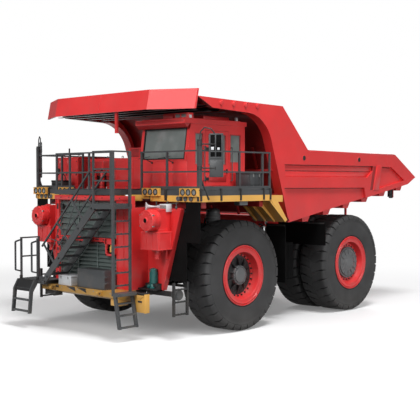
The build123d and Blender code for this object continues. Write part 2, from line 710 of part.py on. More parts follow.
def bed_side():
    """Left side of the bed: arched front, stepped top and three sunk panels in its skin."""
    skin_in = BED_HALF - BED_SKIN
    out = BED_HALF + 1
    foot, knee, middle, top = arch_points(0)
    side = slab_y(
        BED_INSIDE, BED_HALF,
        foot, knee, (*middle, *top), (ARCH_TOP[0], 6230), (-1550, 6210), (-2740, 5000),
        (-7510, 4960), (-8810, 4220), FLOOR_TAIL, (-1930, 2900),
    )
    side -= slab_y(skin_in, out, (-1640, 4570), (-6380, 4570), (-5860, 4200), (-1690, 4200))
    side -= slab_y(skin_in, out, (-1480, 3900), (-5700, 3880), (-5800, 3500), (-1930, 2850))
    side -= slab_y(skin_in, out, (-6700, 4560), (-7300, 4540), (-8100, 4110), (-6500, 3830))
    return side + arch_band(BED_HALF - 300, BED_HALF, 0, 130)


def pivot_ears(side):
    """Two ears that hold the bed on its pivot pin, one each side of a frame rail."""
    foot_z = RAIL_TOP_REAR + BED_GAP
    ear = (
        (PIVOT_X + 150, foot_z), (PIVOT_X + 110, PIVOT_Z), (PIVOT_X, PIVOT_Z - 110, PIVOT_X - 110, PIVOT_Z),
        (PIVOT_X - 80, foot_z), (PIVOT_X - 150, foot_z + 120), (PIVOT_X + 150, foot_z + 120),
    )
    ears = []
    for y in (RAIL_IN - EAR_PLAY - EAR, RAIL_OUT + EAR_PLAY):
        plate = slab_y(side * y, side * (y + EAR), *ear)
        ears.append(plate - across(PIVOT_X, PIVOT_Z, PIVOT_R + FIT, side * y, side * (y + EAR)))
    return ears


def hoist_clevis(side):
    """Two plates under the floor, one each side of the hoist rod's eye."""
    eye_x, eye_z = HOIST_EYE
    inner = HOIST_EYE_HALF + CLEVIS_PLAY
    head = floor_underside(eye_x) + 10
    plates = []
    for y in (HOIST_Y - inner - EAR, HOIST_Y + inner):
        plates.append(slab_y(
            side * y, side * (y + EAR),
            (eye_x + 130, head), (eye_x + 90, eye_z),
            (eye_x, eye_z - 100, eye_x - 90, eye_z), (eye_x - 130, head),
        ))
    return plates


def bed_floor():
    """Floor with its tail lip, the beams that rest on the frame, bolsters, ears and rock ejectors."""
    edge = BED_INSIDE
    sheet = (FLOOR_FRONT, FLOOR_TAIL, (-8790, 4220), (-8730, 4300), (-8260, 4120), (-1960, 3060))
    pieces = [slab_y(-edge, edge, *sheet)]
    beam_half = RAIL_WIDTH / 2 - 50
    foot_z = RAIL_TOP_REAR + BED_GAP
    beam_rear = -7300
    beam_head = floor_underside(beam_rear) + 10
    beam = ((-2100, 2960), (-2100, foot_z), (PIVOT_X - 80, foot_z), (beam_rear, beam_head))
    saddle = (
        (PIVOT_X + 150, foot_z), (PIVOT_X - 80, foot_z),
        (PIVOT_X - 300, 3000), (PIVOT_X - 300, 3660), (PIVOT_X + 150, 3600),
    )
    saddle_out = EAR_PLAY + EAR
    for side in (1, -1):
        pieces.append(slab_y(side * (RAIL_Y - beam_half), side * (RAIL_Y + beam_half), *beam))
        pieces.append(slab_y(side * (RAIL_IN - saddle_out), side * (RAIL_OUT + saddle_out), *saddle))
        pieces += pivot_ears(side) + hoist_clevis(side)
        x, y = PIVOT_X - 60, side * (REAR_OUTER_Y + REAR_INNER_Y) / 2
        pieces.append(bar((x, y, 2100), (x, y, floor_underside(x) + 40), DUAL_GAP - 60))
    for i in range(BOLSTER_COUNT):
        x = -2650 - BOLSTER_PITCH * i
        z = floor_underside(x)
        pieces.append(slab_y(-edge, edge, (x, z - 130), (x, z + 60), (x - 430, z + 130), (x - 270, z - 130)))
    return fused(pieces)


def bed_front_wall():
    return arch_band(-BED_INSIDE, BED_INSIDE, FRONT_WALL_BEHIND, FRONT_WALL_BEHIND + BED_PLATE)


def canopy():
    """Roof over the cab with its ribs, side rails and the leaning fascia."""
    low = arch_points(FRONT_WALL_BEHIND)[3]
    high = arch_points(FRONT_WALL_BEHIND + BED_PLATE)[3]
    front, corner_x, corner_y = CANOPY_FRONT_X, CANOPY_CORNER_X, CANOPY_CORNER_Y
    sheet = 60
    plan = slab_z(
        low[1] - 200, high[1] + 200,
        (low[0] - 100, -BED_INSIDE), (corner_x, -BED_INSIDE), (front, -corner_y),
        (front, corner_y), (corner_x, BED_INSIDE), (low[0] - 100, BED_INSIDE),
    )
    roof = slab_y(-BED_INSIDE, BED_INSIDE, low, high, (front, high[1]), (front, low[1]))
    for x in (350, 900, 1450, 2000):
        roof += block(x, x + 50, -BED_INSIDE, BED_INSIDE, low[1] - 120, low[1])
    pieces = [roof & plan]
    foot, head = front + FASCIA_LEAN, front
    section = (
        (foot, FASCIA_BOTTOM), (head, FASCIA_TOP), (head - sheet, FASCIA_TOP), (foot - sheet, FASCIA_BOTTOM),
    )
    pieces.append(slab_y(-corner_y, corner_y, *section))
    turn = Vector(corner_x - front, BED_HALF - corner_y, 0)
    upright = Plane(origin=(0, corner_y, 0), x_dir=(1, 0, 0), z_dir=(0, -1, 0))
    corner = extrude(upright * outline(*section), amount=turn.length, dir=turn)
    rail = slab_y(
        BED_INSIDE, BED_HALF,
        (CANOPY_CORNER_X - 560, 6000), (CANOPY_CORNER_X, 6270), (ARCH_TOP[0], 6230), ARCH_TOP,
    )
    pieces += both_sides(corner) + both_sides(rail)
    prop_y = 560
    pieces.append(block(front - sheet, front, prop_y, prop_y + 80, 5380, FASCIA_BOTTOM + 100))
    return fused(pieces)


# ---- hoist cylinders -------------------------------------------------------------------------
def along_hoist(start, end, radius):
    """Round bar on the left hoist's axis between two distances from its foot."""
    foot = Vector(HOIST_FOOT[0], HOIST_Y, HOIST_FOOT[1])
    way = (Vector(HOIST_EYE[0], HOIST_Y, HOIST_EYE[1]) - foot).normalized()
    return tube(foot + way * start, foot + way * end, radius)


def hoist():
    """Two-stage telescopic cylinder: barrel, hollow stage and rod with its eye."""
    full = hypot(HOIST_EYE[0] - HOIST_FOOT[0], HOIST_EYE[1] - HOIST_FOOT[1])
    lug = 150
    barrel = along_hoist(60, full - 310, HOIST_BARREL_R)
    barrel += across(*HOIST_FOOT, 110, HOIST_Y - lug, HOIST_Y + lug)
    barrel -= along_hoist(200, full - 310, HOIST_STAGE_R + 6)
    barrel -= across(*HOIST_FOOT, HOIST_PIN_R + FIT, HOIST_Y - lug, HOIST_Y + lug)
    stage = along_hoist(210, full - 270, HOIST_STAGE_R) - along_hoist(250, full - 270, HOIST_ROD_R + 6)
    rod = along_hoist(260, full, HOIST_ROD_R)
    rod += across(*HOIST_EYE, 110, HOIST_Y - HOIST_EYE_HALF, HOIST_Y + HOIST_EYE_HALF)
    return {"barrel": barrel, "stage": stage, "rod": rod}


# ---- deck and cab furniture ------------------------------------------------------------------
def control_cabinets():
    """Drive control cabinets on the right deck and the duct beside the cab."""
    return fused([block(*sides) for sides in CABINETS])


def equipment_boxes():
    """Box behind the cab, a small one on the right deck, and the two on the bumper."""
    return [block(*sides) for sides in BOXES]


def side_tank():
    """Tank hung on the frame rail between the wheels."""
    tank = block(TANK_REAR_X, TANK_REAR_X + 950, TANK_IN_Y, TANK_OUT_Y, 1150, 2250)
    return tank + block(-2350, -2150, RAIL_OUT, TANK_IN_Y, 1500, 1700)


def operator_seat():
    x, y, half = 830, 1700, 270
    base = block(x - 180, x + 200, y - 190, y + 190, DECK_TOP + CAB_WALL, 4230)
    cushion = block(x - half, x + half, y - half, y + half, 4230, 4380)
    back = slab_y(y - half, y + half, (x - 270, 4380), (x - 130, 4380), (x - 270, 5080), (x - 390, 5080))
    return base + cushion + back


def dash_console():
    """Dash across the cab's front with the steering column and wheel."""
    x, floor, y = CAB_FRONT_X - CAB_WALL - 10, DECK_TOP + CAB_WALL, 1700
    dash = slab_y(
        CAB_RIGHT_Y + 80, CAB_LEFT_Y - 80,
        (x, floor), (x, SILL_Z - 20), (x - 220, SILL_Z - 20), (x - 340, SILL_Z - 180), (x - 240, floor),
    )
    hub = (1260, y, SILL_Z + 10)
    face = Plane(origin=hub, x_dir=(0, 1, 0), z_dir=(-170, 0, 160))
    sides = 16
    rim_ring = extrude(RegularPolygon(220, sides) - RegularPolygon(190, sides), amount=28)
    spoke = Pos(0, 0, 14) * Box(400, 50, 16)
    column = bar((1440, y, SILL_Z - 160), hub, 70)
    return dash + column + face * (rim_ring + spoke)


# ---- cab -------------------------------------------------------------------------------------
def windscreen_x(z):
    """Front face of the cab at a height: upright to the sill, then leaning back."""
    lean = max(0, z - SILL_Z) / (CAB_TOP - CAB_ROOF - SILL_Z)
    return CAB_FRONT_X - CAB_RAKE * lean


def window(x0, x1, z0, z1, y, thick):
    """Block through a side wall, or a pane in it."""
    return block(x0, x1, y - thick, y, z0, z1)


def front_sheet(outer, thick, y0, y1, z0, z1):
    """Leaning sheet behind the cab's front face, set in by a distance."""
    x0, x1 = windscreen_x(z0) - outer, windscreen_x(z1) - outer
    return slab_y(y0, y1, (x0, z0), (x1, z1), (x1 - thick, z1), (x0 - thick, z0))


def cab_panels():
    """Floor, roof and four walls, with their windows and the door's opening cut."""
    t = CAB_WALL
    x0, y0, y1 = CAB_REAR_X, CAB_RIGHT_Y, CAB_LEFT_Y
    low, high = DECK_TOP + t, CAB_TOP - CAB_ROOF
    profile = (
        (x0, low), (CAB_FRONT_X, low), (CAB_FRONT_X, SILL_Z), (windscreen_x(high), high), (x0, high),
    )
    front = slab_y(
        y0 + t, y1 - t,
        (CAB_FRONT_X - t, low), (CAB_FRONT_X, low), (CAB_FRONT_X, SILL_Z), (windscreen_x(high), high),
        (windscreen_x(high) - t, high), (CAB_FRONT_X - t, SILL_Z),
    )
    front -= front_sheet(-10, t + 20, y0 + WIDE_MARGIN, y1 - WIDE_MARGIN, *SCREEN)
    rear = block(x0, x0 + t, y0 + t, y1 - t, low, high)
    rear -= block(x0, x0 + t, y0 + REAR_MARGIN, y1 - REAR_MARGIN, SCREEN[0], SCREEN[1] - 80)
    left = slab_y(y1 - t, y1, *profile)
    for x_rear, x_front, foot, head in SIDE_WINDOWS:
        left -= window(x_rear, x_front, foot, head, y1, t)
    left -= window(DOOR[0] - CLEAR, DOOR[1] + CLEAR, low + 40, DOOR_TOP + CLEAR, y1, t)
    right = slab_y(y0, y0 + t, *profile) - window(*RIGHT_WINDOW, y0 + t, t)
    return {
        "cab_floor": block(x0, CAB_FRONT_X, y0, y1, DECK_TOP, low),
        "cab_roof": block(x0 - 40, CAB_FRONT_X + 120, y0 - 30, y1 + 30, high, CAB_TOP),
        "cab_front": front,
        "cab_rear": rear,
        "cab_left": left,
        "cab_right": right,
    }


def cab_door():
    door = window(*DOOR, DECK_TOP + CAB_WALL + 40 + CLEAR, DOOR_TOP, CAB_LEFT_Y, CAB_WALL)
    return door - window(*DOOR_WINDOW, CAB_LEFT_Y, CAB_WALL)


def cab_glass():
    """Panes set in the middle of the walls; the door's pane is its own piece."""
    left = CAB_LEFT_Y - GLASS_INSET
    right = CAB_RIGHT_Y + GLASS_INSET + GLASS
    rear = CAB_REAR_X + GLASS_INSET
    panes = [window(*edges, left, GLASS) for edges in SIDE_WINDOWS]
    panes.append(window(*RIGHT_WINDOW, right, GLASS))
    screen = (CAB_RIGHT_Y + WIDE_MARGIN, CAB_LEFT_Y - WIDE_MARGIN, *SCREEN)
    panes.append(front_sheet(GLASS_INSET, GLASS, *screen))
    back = (CAB_RIGHT_Y + REAR_MARGIN, CAB_LEFT_Y - REAR_MARGIN, SCREEN[0], SCREEN[1] - 80)
    panes.append(block(rear, rear + GLASS, *back))
    return panes


def door_glass():
    return window(*DOOR_WINDOW, CAB_LEFT_Y - GLASS_INSET, GLASS)


# ---- all pieces ------------------------------------------------------------------------------
def write(name, shape):
    """Store one named piece, moved so that the origin is below the middle of the truck."""
    solids = []
    for item in shape if isinstance(shape, (list, tuple)) else [shape]:
        solids += (TO_MIDDLE * item).solids()
    export_step(solids[0] if len(solids) == 1 else Compound(children=solids), f"parts/{name}.step")


def write_pair(name, left):
    """Store a piece of the left side and its mirror image."""
    left = left if isinstance(left, list) else [left]
    write(f"{name}_left", left)
    write(f"{name}_right", [flipped(piece) for piece in left])


def main():
    os.makedirs("parts", exist_ok=True)
    write_pair("front_tyre", Pos(0, 0, HUB_Z) * tyre(FRONT_WHEEL_Y))
    write_pair("rear_tyres", [Pos(REAR_AXLE_X, 0, HUB_Z) * tyre(y) for y in (REAR_OUTER_Y, REAR_INNER_Y)])
    write_pair("front_rim", front_rim())
    write_pair("rear_rim", rear_rim())
    write_pair("knuckle", knuckle())
    write_pair("bed_side", bed_side())
    for name, shape in hoist().items():
        write_pair(f"hoist_{name}", shape)
    for name, shape in cab_panels().items():
        write(name, shape)
    singles = (
        main_frame, engine_block, deck_supports, suspension_struts, rear_axle_housing, tie_rod,
        front_bumper, radiator_frame, radiator_grille, mud_flaps, deck_plates, deck_edging, lamp_lenses,
        handrails, main_stair, step_landing, access_ladder, bed_floor, bed_front_wall, canopy,
        cab_door, door_glass, cab_glass, operator_seat, dash_console, control_cabinets, equipment_boxes,
    )
    for piece in singles:
        write(piece.__name__, piece())
    paired = {
        "fender_panels": fender_panel,
        "air_cleaners": air_cleaner,
        "mirrors": mirror_arm,
        "side_steps": side_steps,
        "side_tanks": side_tank,
    }
    for name, piece in paired.items():
        write(name, both_sides(piece()))


if __name__ == "__main__":
    main()
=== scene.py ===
import json
from math import cos, pi, radians, sin

import bpy
from bpy.props import FloatProperty, FloatVectorProperty, IntProperty, PointerProperty
from mathutils import Matrix, Vector

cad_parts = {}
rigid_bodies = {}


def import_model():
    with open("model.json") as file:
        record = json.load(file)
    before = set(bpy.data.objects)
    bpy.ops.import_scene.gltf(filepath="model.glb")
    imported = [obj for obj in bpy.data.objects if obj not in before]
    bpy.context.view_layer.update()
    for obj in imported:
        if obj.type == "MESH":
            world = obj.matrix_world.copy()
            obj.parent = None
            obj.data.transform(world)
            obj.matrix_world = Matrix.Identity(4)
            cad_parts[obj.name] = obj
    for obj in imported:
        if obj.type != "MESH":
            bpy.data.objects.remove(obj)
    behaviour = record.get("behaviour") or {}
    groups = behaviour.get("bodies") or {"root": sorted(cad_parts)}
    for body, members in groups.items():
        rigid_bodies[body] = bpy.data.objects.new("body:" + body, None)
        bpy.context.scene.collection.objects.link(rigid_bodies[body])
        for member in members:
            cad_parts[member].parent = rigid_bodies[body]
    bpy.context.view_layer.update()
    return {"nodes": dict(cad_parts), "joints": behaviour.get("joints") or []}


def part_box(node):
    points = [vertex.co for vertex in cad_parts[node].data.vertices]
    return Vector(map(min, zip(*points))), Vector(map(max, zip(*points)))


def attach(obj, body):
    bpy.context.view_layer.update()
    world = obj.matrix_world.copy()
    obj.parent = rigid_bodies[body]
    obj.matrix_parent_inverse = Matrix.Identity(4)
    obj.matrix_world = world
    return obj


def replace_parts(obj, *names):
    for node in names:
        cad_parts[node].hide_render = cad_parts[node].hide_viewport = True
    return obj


bl_info = {
    "name": "Mining dump truck finish",
    "version": (1, 0, 0),
    "blender": (4, 5, 0),
    "location": "3D View > Sidebar > Truck",
    "description": "Finishes and detail pieces of a rigid mining dump truck",
    "category": "Object",
}

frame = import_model()
NODES = frame["nodes"]
JOINTS = {joint["name"]: joint for joint in frame["joints"]}
FRONT_AXLE, FRONT_WHEEL_Y, HUB_Z = JOINTS["roll_front_left"]["pos_m"]
REAR_AXLE = JOINTS["roll_rear_left"]["pos_m"][0]
TYRE_HALF = (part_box("front_tyre_left")[1].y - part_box("front_tyre_left")[0].y) / 2
REAR_OUTER_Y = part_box("rear_tyres_left")[1].y - TYRE_HALF
REAR_INNER_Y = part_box("rear_tyres_left")[0].y + TYRE_HALF
DECK_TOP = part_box("deck_plates")[1].z
TYRE_RADIUS, LUG_TOP = 1.5, 1.514
CAMERA_PLACE, CAMERA_YAW, CAMERA_PITCH = (20.6428, 18.9043, 4.1031), radians(223.386), radians(-1.895)
LENS, SENSOR = 76.05, 36
LAMP_AIM = Vector((0, 0, 2.5))
WELD = 0.0004
CLOTH_GRID, AIR_PRESSURE, AIR_FRAMES = 0.008, 4.0, 20
FLOOR_SIZE, FADE_START, FADE_END = 400, 9.0, 20.0
ACROSS = Vector((0, 1, 0))
UP = Vector((0, 0, 1))
FORWARD = Vector((1, 0, 0))
BOTH = (1, -1)


def ahead(x):
    """Place along the truck of a point that lies x ahead of the front axle."""
    return FRONT_AXLE + x


def spot(x, y, z):
    """Point whose X is counted ahead of the front axle."""
    return Vector((ahead(x), y, z))


# ---- sizes and colours that a user would change ----
def length(label, text, default):
    return FloatProperty(name=label, description=text, default=default, min=0, unit="LENGTH")


def colour(label, text, default):
    return FloatVectorProperty(name=label, description=text, default=default, size=3, subtype="COLOR")


class TruckColours(bpy.types.PropertyGroup):
    body: colour("Body", "Gloss paint of the bed, the cab and the front", (0.8, 0.034, 0.036))
    rails: colour("Rails", "Satin paint of rails, stairs and ladders", (0.052, 0.056, 0.06))
    edging: colour("Edging", "Safety paint of the deck's edge and the bumper", (0.93, 0.5, 0.1))
    chassis: colour("Chassis", "Paint of the frame, the axles and the struts", (0.01, 0.01, 0.011))
    louvres: colour("Louvres", "Paint of the radiator's louvres", (0.16, 0.2, 0.19))
    rubber: colour("Rubber", "Tread and sidewall", (0.05, 0.05, 0.051))
    hub: colour("Hub", "Grey paint of the hub caps and covers", (0.12, 0.125, 0.13))
    pump: colour("Pump", "Paint of the grease pump", (0.008, 0.16, 0.15))
    box: colour("Box", "Paint of the battery box", (0.78, 0.8, 0.83))
    glass: colour("Glass", "Tint of the cab's panes", (0.23, 0.26, 0.25))
    fabric: colour("Fabric", "Cloth of the seat", (0.035, 0.037, 0.04))


class TyreSizes(bpy.types.PropertyGroup):
    lugs: IntProperty(name="Lugs", description="Tread lugs round each shoulder", default=32, min=12)
    lug_gap: length("Groove", "Width of the groove between two lugs", 0.046)
    lug_rise: length("Lug height", "Height of a lug over the casing", 0.05)
    sweep: length("Sweep", "How far a lug's inner end is swept round the tyre", 0.11)


class RimSizes(bpy.types.PropertyGroup):
    gussets: IntProperty(name="Gussets", description="Gussets round a front hub", default=10, min=3)
    bolts: IntProperty(name="Bolts", description="Wheel bolts round a hub", default=24, min=6)
    bolt_radius: length("Bolt", "Radius of a wheel bolt's head", 0.018)


# ---- shader maths ----
class Value:
    """A shader number; arithmetic on it adds Math nodes."""

    def __init__(self, shader, socket):
        self.shader = shader
        self.socket = socket

    def math(self, operation, *others):
        sockets = dict(enumerate((self, *others)))
        return self.shader.node("ShaderNodeMath", {"operation": operation}, sockets)

    def __add__(self, other):
        return self.math("ADD", other)

    __radd__ = __add__

    def __sub__(self, other):
        return self.math("SUBTRACT", other)

    def __rsub__(self, other):
        return self.shader.node("ShaderNodeMath", {"operation": "SUBTRACT"}, {0: other, 1: self})

    def __mul__(self, other):
        return self.math("MULTIPLY", other)

    __rmul__ = __mul__

    def over(self, low, high):
        """0 below low, 1 above high, smooth between."""
        settings = {"interpolation_type": "SMOOTHSTEP"}
        return self.shader.node("ShaderNodeMapRange", settings, {0: self, 1: low, 2: high})


class Shader:
    """The nodes of one material."""

    def __init__(self, name):
        self.material = bpy.data.materials.new(name)
        self.material.use_nodes = True
        self.tree = self.material.node_tree
        self.surface = self.tree.nodes["Principled BSDF"]
        self.place = self.node("ShaderNodeTexCoord", output="Object")

    def node(self, kind, settings=None, sockets=None, output=0):
        """Any node: its settings first, then the values or links of its sockets."""
        made = self.tree.nodes.new(kind)
        for name, value in (settings or {}).items():
            setattr(made, name, value)
        for name, value in (sockets or {}).items():
            if isinstance(value, Value):
                self.tree.links.new(value.socket, made.inputs[name])
            else:
                made.inputs[name].default_value = value
        return Value(self, made.outputs[output])

    def noise(self, scale, detail=4, place=None):
        sockets = {"Vector": place or self.place, "Scale": scale, "Detail": detail}
        return self.node("ShaderNodeTexNoise", None, sockets)

    def mixed(self, mask, under, over):
        """Colour that goes from one to the other with a mask."""
        sockets = {0: mask}
        for slot, tone in ((6, under), (7, over)):
            sockets[slot] = tone if isinstance(tone, Value) else (*tone, 1)
        return self.node("ShaderNodeMix", {"data_type": "RGBA"}, sockets, output=2)

    def axis(self, name):
        return self.node("ShaderNodeSeparateXYZ", None, {0: self.place}, output=name)

    def edges(self, radius):
        """1 along the edges of the shape, within a radius."""
        rounded = self.node("ShaderNodeBevel", {"samples": 4}, {"Radius": radius})
        true = self.node("ShaderNodeNewGeometry", output="True Normal")
        sockets = {0: rounded, 1: true}
        along = self.node("ShaderNodeVectorMath", {"operation": "DOT_PRODUCT"}, sockets, output="Value")
        return (1.0 - along).over(0.02, 0.25)

    def facing(self, way):
        """1 on faces that look along a direction."""
        face = self.node("ShaderNodeNewGeometry", output="True Normal")
        settings = {"operation": "DOT_PRODUCT"}
        return self.node("ShaderNodeVectorMath", settings, {0: face, 1: way}, output="Value").over(0.4, 0.8)

    def bump(self, height, strength, distance):
        sockets = {"Height": height, "Strength": strength, "Distance": distance}
        self.link("Normal", self.node("ShaderNodeBump", None, sockets))

    def link(self, socket, value):
        if isinstance(value, Value):
            self.tree.links.new(value.socket, self.surface.inputs[socket])
        else:
            self.surface.inputs[socket].default_value = value

    def skin(self, tone, rough):
        """Colour and roughness, each a value or a map."""
        self.link("Base Color", tone)
        self.link("Roughness", rough)

    def done(self, **constants):
        for name, value in constants.items():
            self.link(name.replace("_", " "), value)
        return self.material


def shade(tone, factor):
    return tuple(min(1, part * factor) for part in tone)


def paint(name, tone, rough=0.34, coat=0.35, wear_and_highlight=0.5, dirt=0.35, metallic=0.0, painted_shade=0.0, shaded_side=(0, 0, -1)):
    """Sprayed paint: faint cloudiness and orange peel, dust low down, edges lightened partly as wear and
    partly as a painted highlight, and on request painted shade on the faces that look one way.
    """
    shader = Shader(name)
    cloud = shader.noise(0.9, 5)
    speck = shader.noise(38, 3)
    low = 1.0 - shader.axis("Z").over(0.2, 2.6)
    dust = (shader.noise(2.3, 8).over(0.42, 0.75)) * (low * dirt + 0.05)
    # Edges lightened where the noise allows: partly paint worn off, partly a painted highlight along the
    # edges.
    worn = shader.edges(0.014) * shader.noise(7, 6).over(0.4, 0.62) * wear_and_highlight
    base = shader.mixed(cloud.over(0.35, 0.7), shade(tone, 0.93), shade(tone, 1.05))
    base = shader.mixed(dust, base, (0.22, 0.19, 0.16))
    base = shader.mixed(worn, base, tuple(part * 0.55 + 0.25 for part in tone))
    # Painted shade: faces that look one way (down unless told otherwise) are darkened towards black.
    if painted_shade:
        base = shader.mixed(shader.facing(shaded_side) * (painted_shade - cloud * 0.1), base, (0.006, 0.006, 0.006))
    shader.skin(base, rough + cloud * 0.08 + dust * 0.4)
    shader.bump(speck * 0.6 + cloud, 0.08, 0.002)
    return shader.done(Metallic=metallic, Coat_Weight=coat, Coat_Roughness=0.12)


def rubber(name, tone, rings=0.0, gloss=0.35):
    """Tread rubber: matt, greyed by dust, with faint moulding rings on a tyre's sidewall."""
    shader = Shader(name)
    cloud = shader.noise(1.7, 6)
    grain = shader.noise(60, 2)
    base = shader.mixed(cloud.over(0.3, 0.72), shade(tone, 0.85), shade(tone, 1.3))
    low = 1.0 - shader.axis("Z").over(0, 0.9)
    base = shader.mixed(low * cloud * 0.5, base, (0.12, 0.11, 0.1))
    shader.skin(base, 0.62 + cloud * 0.2)
    shader.bump(grain + cloud * rings, 0.25, 0.003)
    return shader.done(Specular_IOR_Level=gloss)


def bare_metal(name, tone, rough, streak=40.0):
    """Turned or ground metal, streaked across its length."""
    shader = Shader(name)
    grooves = shader.noise(streak, 3)
    cloud = shader.noise(3, 5)
    shader.skin(shader.mixed(cloud, shade(tone, 0.8), tone), rough + grooves * 0.12)
    shader.bump(grooves, 0.05, 0.001)
    return shader.done(Metallic=1.0)


def cast_iron(name, tone):
    """Sand-cast iron with a coarse skin and oily patches."""
    shader = Shader(name)
    skin = shader.noise(45, 8)
    oil = shader.noise(1.6, 6).over(0.45, 0.65)
    shader.skin(shader.mixed(oil, shade(tone, 1.4), shade(tone, 0.5)), 0.62 - oil * 0.3)
    shader.bump(skin, 0.5, 0.004)
    return shader.done(Metallic=0.25)


def pane(name, tone, alpha):
    """Tinted glass with a patchy film of dust."""
    shader = Shader(name)
    film = shader.noise(2.2, 7).over(0.4, 0.8)
    shader.skin(shader.mixed(film * 0.35, tone, (0.42, 0.43, 0.42)), 0.03 + film * 0.1)
    shader.link("Alpha", film * 0.15 + alpha)
    return shader.done(Specular_IOR_Level=0.4)


def tread_plate(name, tone):
    """Satin painted plate with raised bars laid in crossing pairs on its upper faces."""
    shader = Shader(name)
    x, y = shader.axis("X") * 14.0, shader.axis("Y") * 14.0
    one = (x + y).math("SINE") * (x - y).math("SINE")
    bars = one.over(0.35, 0.6)
    cloud = shader.noise(1.1, 6)
    worn = bars * cloud.over(0.45, 0.62)
    base = shader.mixed(cloud.over(0.3, 0.7), shade(tone, 0.8), shade(tone, 1.25))
    base = shader.mixed(worn * 0.45, base, (0.2, 0.2, 0.2))
    shader.skin(base, 0.55 - worn * 0.15)
    shader.bump(bars, 0.6, 0.006)
    return shader.done()


def plastic(name, tone, rough=0.5):
    """Moulded plastic with a leather-like grain."""
    shader = Shader(name)
    sockets = {"Vector": shader.place, "Scale": 260.0}
    grain = shader.node("ShaderNodeTexVoronoi", {"feature": "SMOOTH_F1"}, sockets)
    cloud = shader.noise(3, 4)
    shader.skin(shader.mixed(cloud, shade(tone, 0.85), shade(tone, 1.15)), rough + cloud * 0.12)
    shader.bump(grain, 0.3, 0.001)
    return shader.done()


def woven(name, tone):
    """Coarse seat cloth, over and under at right angles."""
    shader = Shader(name)
    weave = None
    for name_of_axis, turn in (("Y", 900.0), ("Z", 900.0), ("X", 900.0)):
        thread = (shader.axis(name_of_axis) * turn).math("SINE")
        weave = thread if weave is None else weave * 0.6 + thread
    cloud = shader.noise(6, 4)
    shader.skin(shader.mixed(weave.over(-0.8, 0.9), shade(tone, 0.7), shade(tone, 1.5)), 0.85 - cloud * 0.1)
    shader.bump(weave, 0.35, 0.0015)
    return shader.done(Sheen_Weight=0.3)


def lit(name, tone, strength):
    """Lens that shows its bright reflector in rings."""
    shader = Shader(name)
    sockets = {"Vector": shader.place, "Scale": 70.0}
    facets = shader.node("ShaderNodeTexVoronoi", {"feature": "DISTANCE_TO_EDGE"}, sockets)
    shader.skin(shader.mixed(facets.over(0, 0.2), shade(tone, 0.45), tone), 0.08 + facets * 0.3)
    shader.link("Emission Color", shader.mixed(facets.over(0, 0.2), (0, 0, 0), tone))
    return shader.done(Emission_Strength=strength, Coat_Weight=1.0, Coat_Roughness=0.03)


MATERIALS = {}


def make_materials(tones):
    """Every finish, made once by name."""
    MATERIALS.update({
        "body": paint("body_paint", tones.body, 0.4, 0.2),
        # Canopy: faces looking down are darkened to near black as painted shade.
        "canopy": paint("canopy_paint", tones.body, 0.42, 0.15, painted_shade=1.0),
        "rails": paint("rail_paint", tones.rails, 0.42, 0.15, 0.35, 0.3),
        # Edging: faces looking down are darkened as painted shade.
        "edging": paint("edging_paint", tones.edging, 0.38, 0.25, 0.3, 0.2, painted_shade=0.6),
        "chassis": paint("chassis_paint", tones.chassis, 0.55, 0.05, 0.15, 0.15),
        "louvres": paint("louvre_paint", tones.louvres, 0.24, 0.4, 0.2, 0.1, 0.35),
        "hub": paint("hub_paint", tones.hub, 0.4, 0.2, 0.3, 0.2),
        "pump": paint("pump_paint", tones.pump, 0.3, 0.5, 0.2, 0.1),
        "box": paint("box_paint", tones.box, 0.35, 0.3, 0.1, 0.15),
        "tyre": rubber("tyre_rubber", tones.rubber, 0.4),
        "flap": rubber("flap_rubber", shade(tones.rubber, 0.12), gloss=0.06),
        "seal": rubber("seal_rubber", shade(tones.rubber, 0.35)),
        # Darker body red that stands in for the shade in the folds and corners of the bed's sides.
        "deep": paint("recess_paint", shade(tones.body, 0.42), 0.5, 0.0),
        # Front wall: faces that look forward and down are darkened as painted shade.
        "wall": paint("wall_paint", tones.body, 0.42, 0.15, painted_shade=0.68, shaded_side=(0.7, 0, -0.7)),
        # Bumper: the edging yellow darkened as painted shade.
        "bumper": paint("bumper_paint", shade(tones.edging, 0.6), 0.42, 0.15, 0.3, 0.3),
        "shade": paint("shaded_paint", shade(tones.body, 0.62), 0.42, 0.15),
        "deck": tread_plate("deck_plate", tones.rails),
        "rod": bare_metal("hard_chrome", (0.78, 0.79, 0.8), 0.08),
        "steel": bare_metal("ground_steel", (0.42, 0.42, 0.41), 0.32),
        "mirror": bare_metal("mirror_silver", (0.8, 0.82, 0.83), 0.02, 5.0),
        "iron": cast_iron("engine_iron", (0.035, 0.037, 0.038)),
        "glass": pane("cab_pane", tones.glass, 0.84),
        "plastic": plastic("moulded_plastic", (0.03, 0.031, 0.033)),
        "fabric": woven("seat_cloth", tones.fabric),
        "lamp": lit("lamp_glass", (0.3, 0.31, 0.3), 0.05),
        "tail_lamp": lit("tail_lamp_glass", (0.6, 0.012, 0.01), 0.1),
    })


